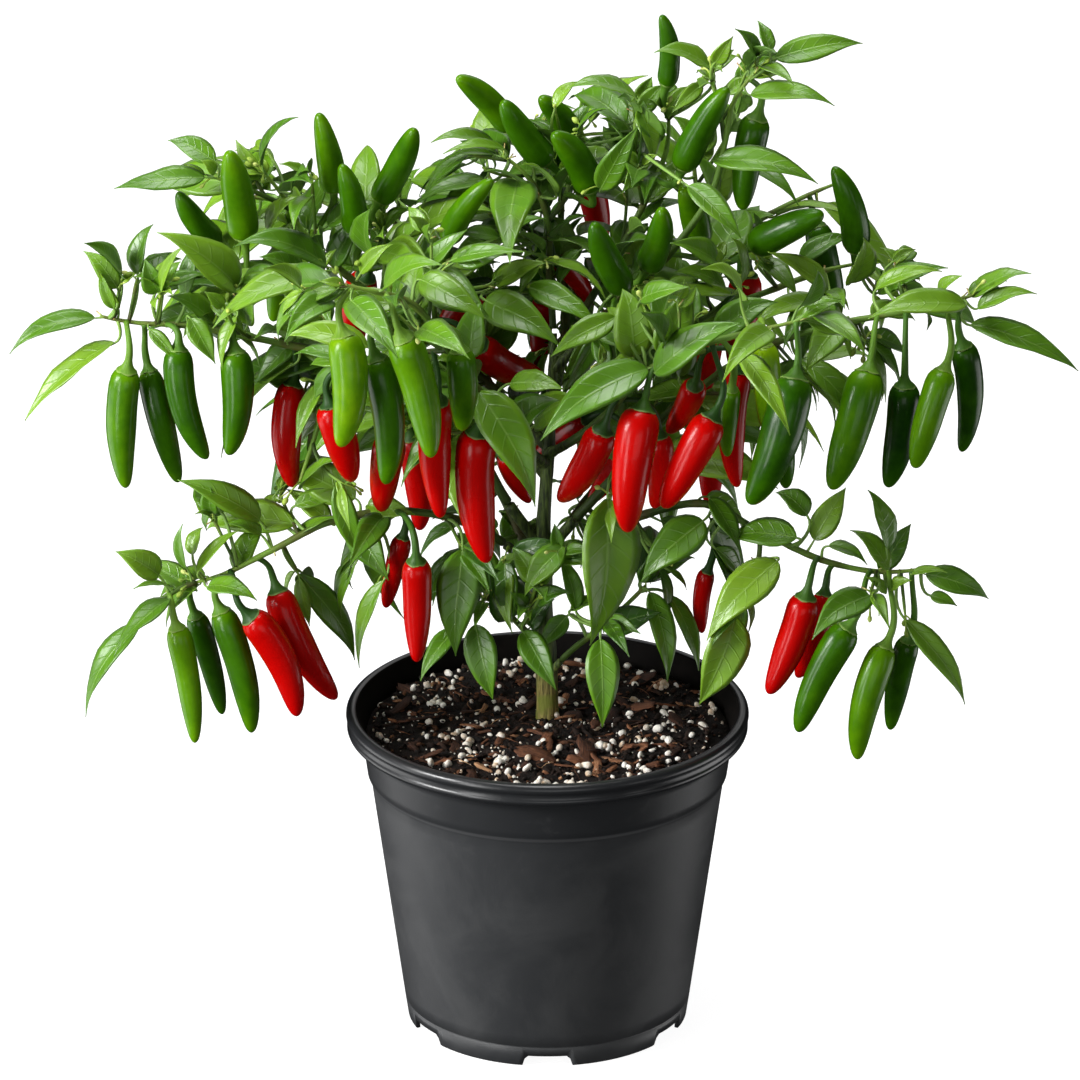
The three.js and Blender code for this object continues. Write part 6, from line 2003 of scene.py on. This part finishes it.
for branch in branches:
    stalks, greens = Heap(), Heap()
    tones = GREEN_TONES.get(branch.name, [])
    for chilli in branch.chillies:
        root = nearest_on_lines(branch.lines, chilli.root)
        tone = pods.uniform(0.48, 0.85)
        if chilli.red:
            # Ripe pods farther back in the bush get a darker red: painted shade.
            depth = np.clip((chilli.neck[1] + 90) / 150, 0, 1)
            red = Heap()
            grow_pod(red, chilli, 0.04 + 0.12 * depth + pods.uniform(0, 0.12))
            number = str(chilli.number + 1)
            red.piece(branch.name + "_ripe_pod_" + number, red_look, "red_chilli",
                      "red_chilli_" + branch.name + "_" + number)
            grow_cap(stalks, chilli, root, tone + 0.3)
        else:
            if chilli.number < len(tones):
                tone = tones[chilli.number]
            grow_pod(greens, chilli, tone)
            grow_cap(stalks, chilli, root, tone * 0.7)
    branch_piece(stalks, branch, "_caps", cap_look)
    branch_piece(greens, branch, "_green_pods", green_look)

# Flower buds stand in small clusters at the tips of the twigs, pale yellow green on thin stalks,
# and dry stubs are left at the joints where flowers and leaves fell off.
BUD_RADIUS = [0.9, 1.7]
BUD_STALK = 0.5
BUD_SIDES = 8
BUD_PROFILE = [(0.25, 0.75), (0.9, 1), (1.7, 0.95), (2.4, 0.55), (2.7, 0.15)]
CLUSTER_SHARE = 0.4
bud_look = Look("flower_buds", Specular_IOR_Level=0.3)
bud_tone = bud_look.attribute("tone")
bud_mottle = bud_look.noise(500, 3, 0.6)
bud_colour = bud_look.ramp(
    bud_tone + (bud_mottle - 0.5) * 0.3,
    (0, srgb(96, 132, 40)), (0.45, srgb(158, 184, 70)), (0.75, srgb(214, 220, 134)),
    (1, srgb(150, 112, 70)),
)
bud_look.shade(
    Base_Color=bud_colour,
    Roughness=0.5 + bud_mottle * 0.2,
    bump=bud_mottle,
    strength=0.4,
)
buds = np.random.default_rng(29)
for branch in branches:
    heap = Heap()
    for line in branch.lines:
        end, way = line[-1], unit(line[-1] - line[-3])
        for _ in range(buds.integers(2, 6) if buds.random() < CLUSTER_SHARE else 1):
            aside = unit(buds.normal(0, 1, 3)) * 0.75
            heading = unit(way * 0.8 + aside + UP * buds.uniform(-0.2, 0.5))
            length = buds.uniform(5, 12)
            tip = end + heading * length - UP * length * buds.uniform(0, 0.3)
            bow = end + heading * length * 0.6 + UP * 1.2
            stalk = bow_line(end, bow, tip, np.linspace(0, 1, 5)[:, None])
            size = buds.uniform(*BUD_RADIUS)
            on = unit(stalk[-1] - stalk[-2])
            course = np.concatenate([stalk, [tip + on * size * a for a, _ in BUD_PROFILE]])
            radii = [BUD_STALK] * 4 + [BUD_STALK * 1.5] + [size * b for _, b in BUD_PROFILE]
            tone = buds.uniform(0.2, 0.75)
            tones = np.repeat(np.linspace(tone - 0.25, tone, len(course))[:, None], BUD_SIDES, 1)
            if not outside[cells(course)].any():
                heap.loft(tube_rings(course, radii, BUD_SIDES), tone=tones)
    for root, *_ in branch.leaves[::4]:
        heading = unit(buds.normal(0, 1, 3) + UP * 0.4)
        length = buds.uniform(3, 8)
        course = [root, root + heading * length * 0.5, root + heading * length]
        stub = tube_rings(np.array(course), [0.7, 0.45, 0.4], 6)
        heap.loft(stub, tone=[[tone] * 6 for tone in (0.1, 0.8, 1)])
    branch_piece(heap, branch, "_buds", bud_look)

# The studio, which isn't part of the plant: a plain pale floor that runs out of sight, with soft
# light from large rectangular panels and from a white surround.
FLOOR_SIZE = 40000
LIGHTS = {
    "left_strip": ((-1.25, -1.45, 0.33), (0, 0, 0.36), (0.4, 1.1), 13),
    "low_left_panel": ((-1.7, 0.2, -0.35), (0, 0, 0.1), (1.6, 0.9), 11),
    "low_right_panel": ((1.7, 0.2, -0.35), (0, 0, 0.1), (1.4, 0.8), 9),
    "high_left_panel": ((-2.25, -1.05, 1.45), (0, 0, 0.36), (0.9, 0.9), 84),
    "high_left_strip": ((-1.9, -0.65, 0.66), (0, 0, 0.45), (0.45, 0.9), 10),
    "front_panel": ((0.3, -2.8, 0.5), (0, 0, 0.3), (1.7, 1.1), 8),
    "right_strip": ((1.5, -1.2, 0.45), (0, 0, 0.32), (0.3, 0.9), 1.3),
    "top_panel": ((-0.2, 0.1, 2.5), (0, 0, 0.3), (1.4, 1.2), 44),
    "back_panel": ((0.4, 2.2, 1.6), (0, 0, 0.35), (1.6, 1.0), 6),
}
floor_look = Look("pale_floor", Specular_IOR_Level=0.1, Roughness=0.95)
floor_look.shade(
    Base_Color=floor_look.mix(floor_look.noise(1.5), (0.28, 0.28, 0.28), (0.30, 0.30, 0.30)),
    Emission_Color=(1, 1, 1),
    Emission_Strength=0.94,
)
floor_mesh = bpy.data.meshes.new("floor")
reach = FLOOR_SIZE * MM / 2
floor_corners = [(-reach, -reach, 0), (reach, -reach, 0), (reach, reach, 0), (-reach, reach, 0)]
floor_mesh.from_pydata(floor_corners, [], [[0, 1, 2, 3]])
floor_mesh.materials.append(floor_look.material)
floor = bpy.data.objects.new("floor", floor_mesh)
bpy.context.scene.collection.objects.link(floor)
floor.visible_glossy = False
floor.visible_diffuse = False
floor.visible_shadow = False
floor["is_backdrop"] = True

world = bpy.data.worlds.new("white_surround")
world.use_nodes = True
world.node_tree.nodes["Background"].inputs["Color"].default_value = (1, 1, 1, 1)
world.node_tree.nodes["Background"].inputs["Strength"].default_value = 0.15
world.cycles_visibility.glossy = False
bpy.context.scene.world = world
bpy.context.scene.view_settings.view_transform = "Standard"

for name, (place, aim, size, power) in LIGHTS.items():
    data = bpy.data.lights.new(name, "AREA")
    data.shape = "RECTANGLE"
    data.size, data.size_y = size
    data.energy = power
    lamp = bpy.data.objects.new(name, data)
    lamp.location = place
    lamp.rotation_euler = (Vector(aim) - Vector(place)).to_track_quat("-Z", "Y").to_euler()
    lamp.visible_camera = False
    bpy.context.scene.collection.objects.link(lamp)

low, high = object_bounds()
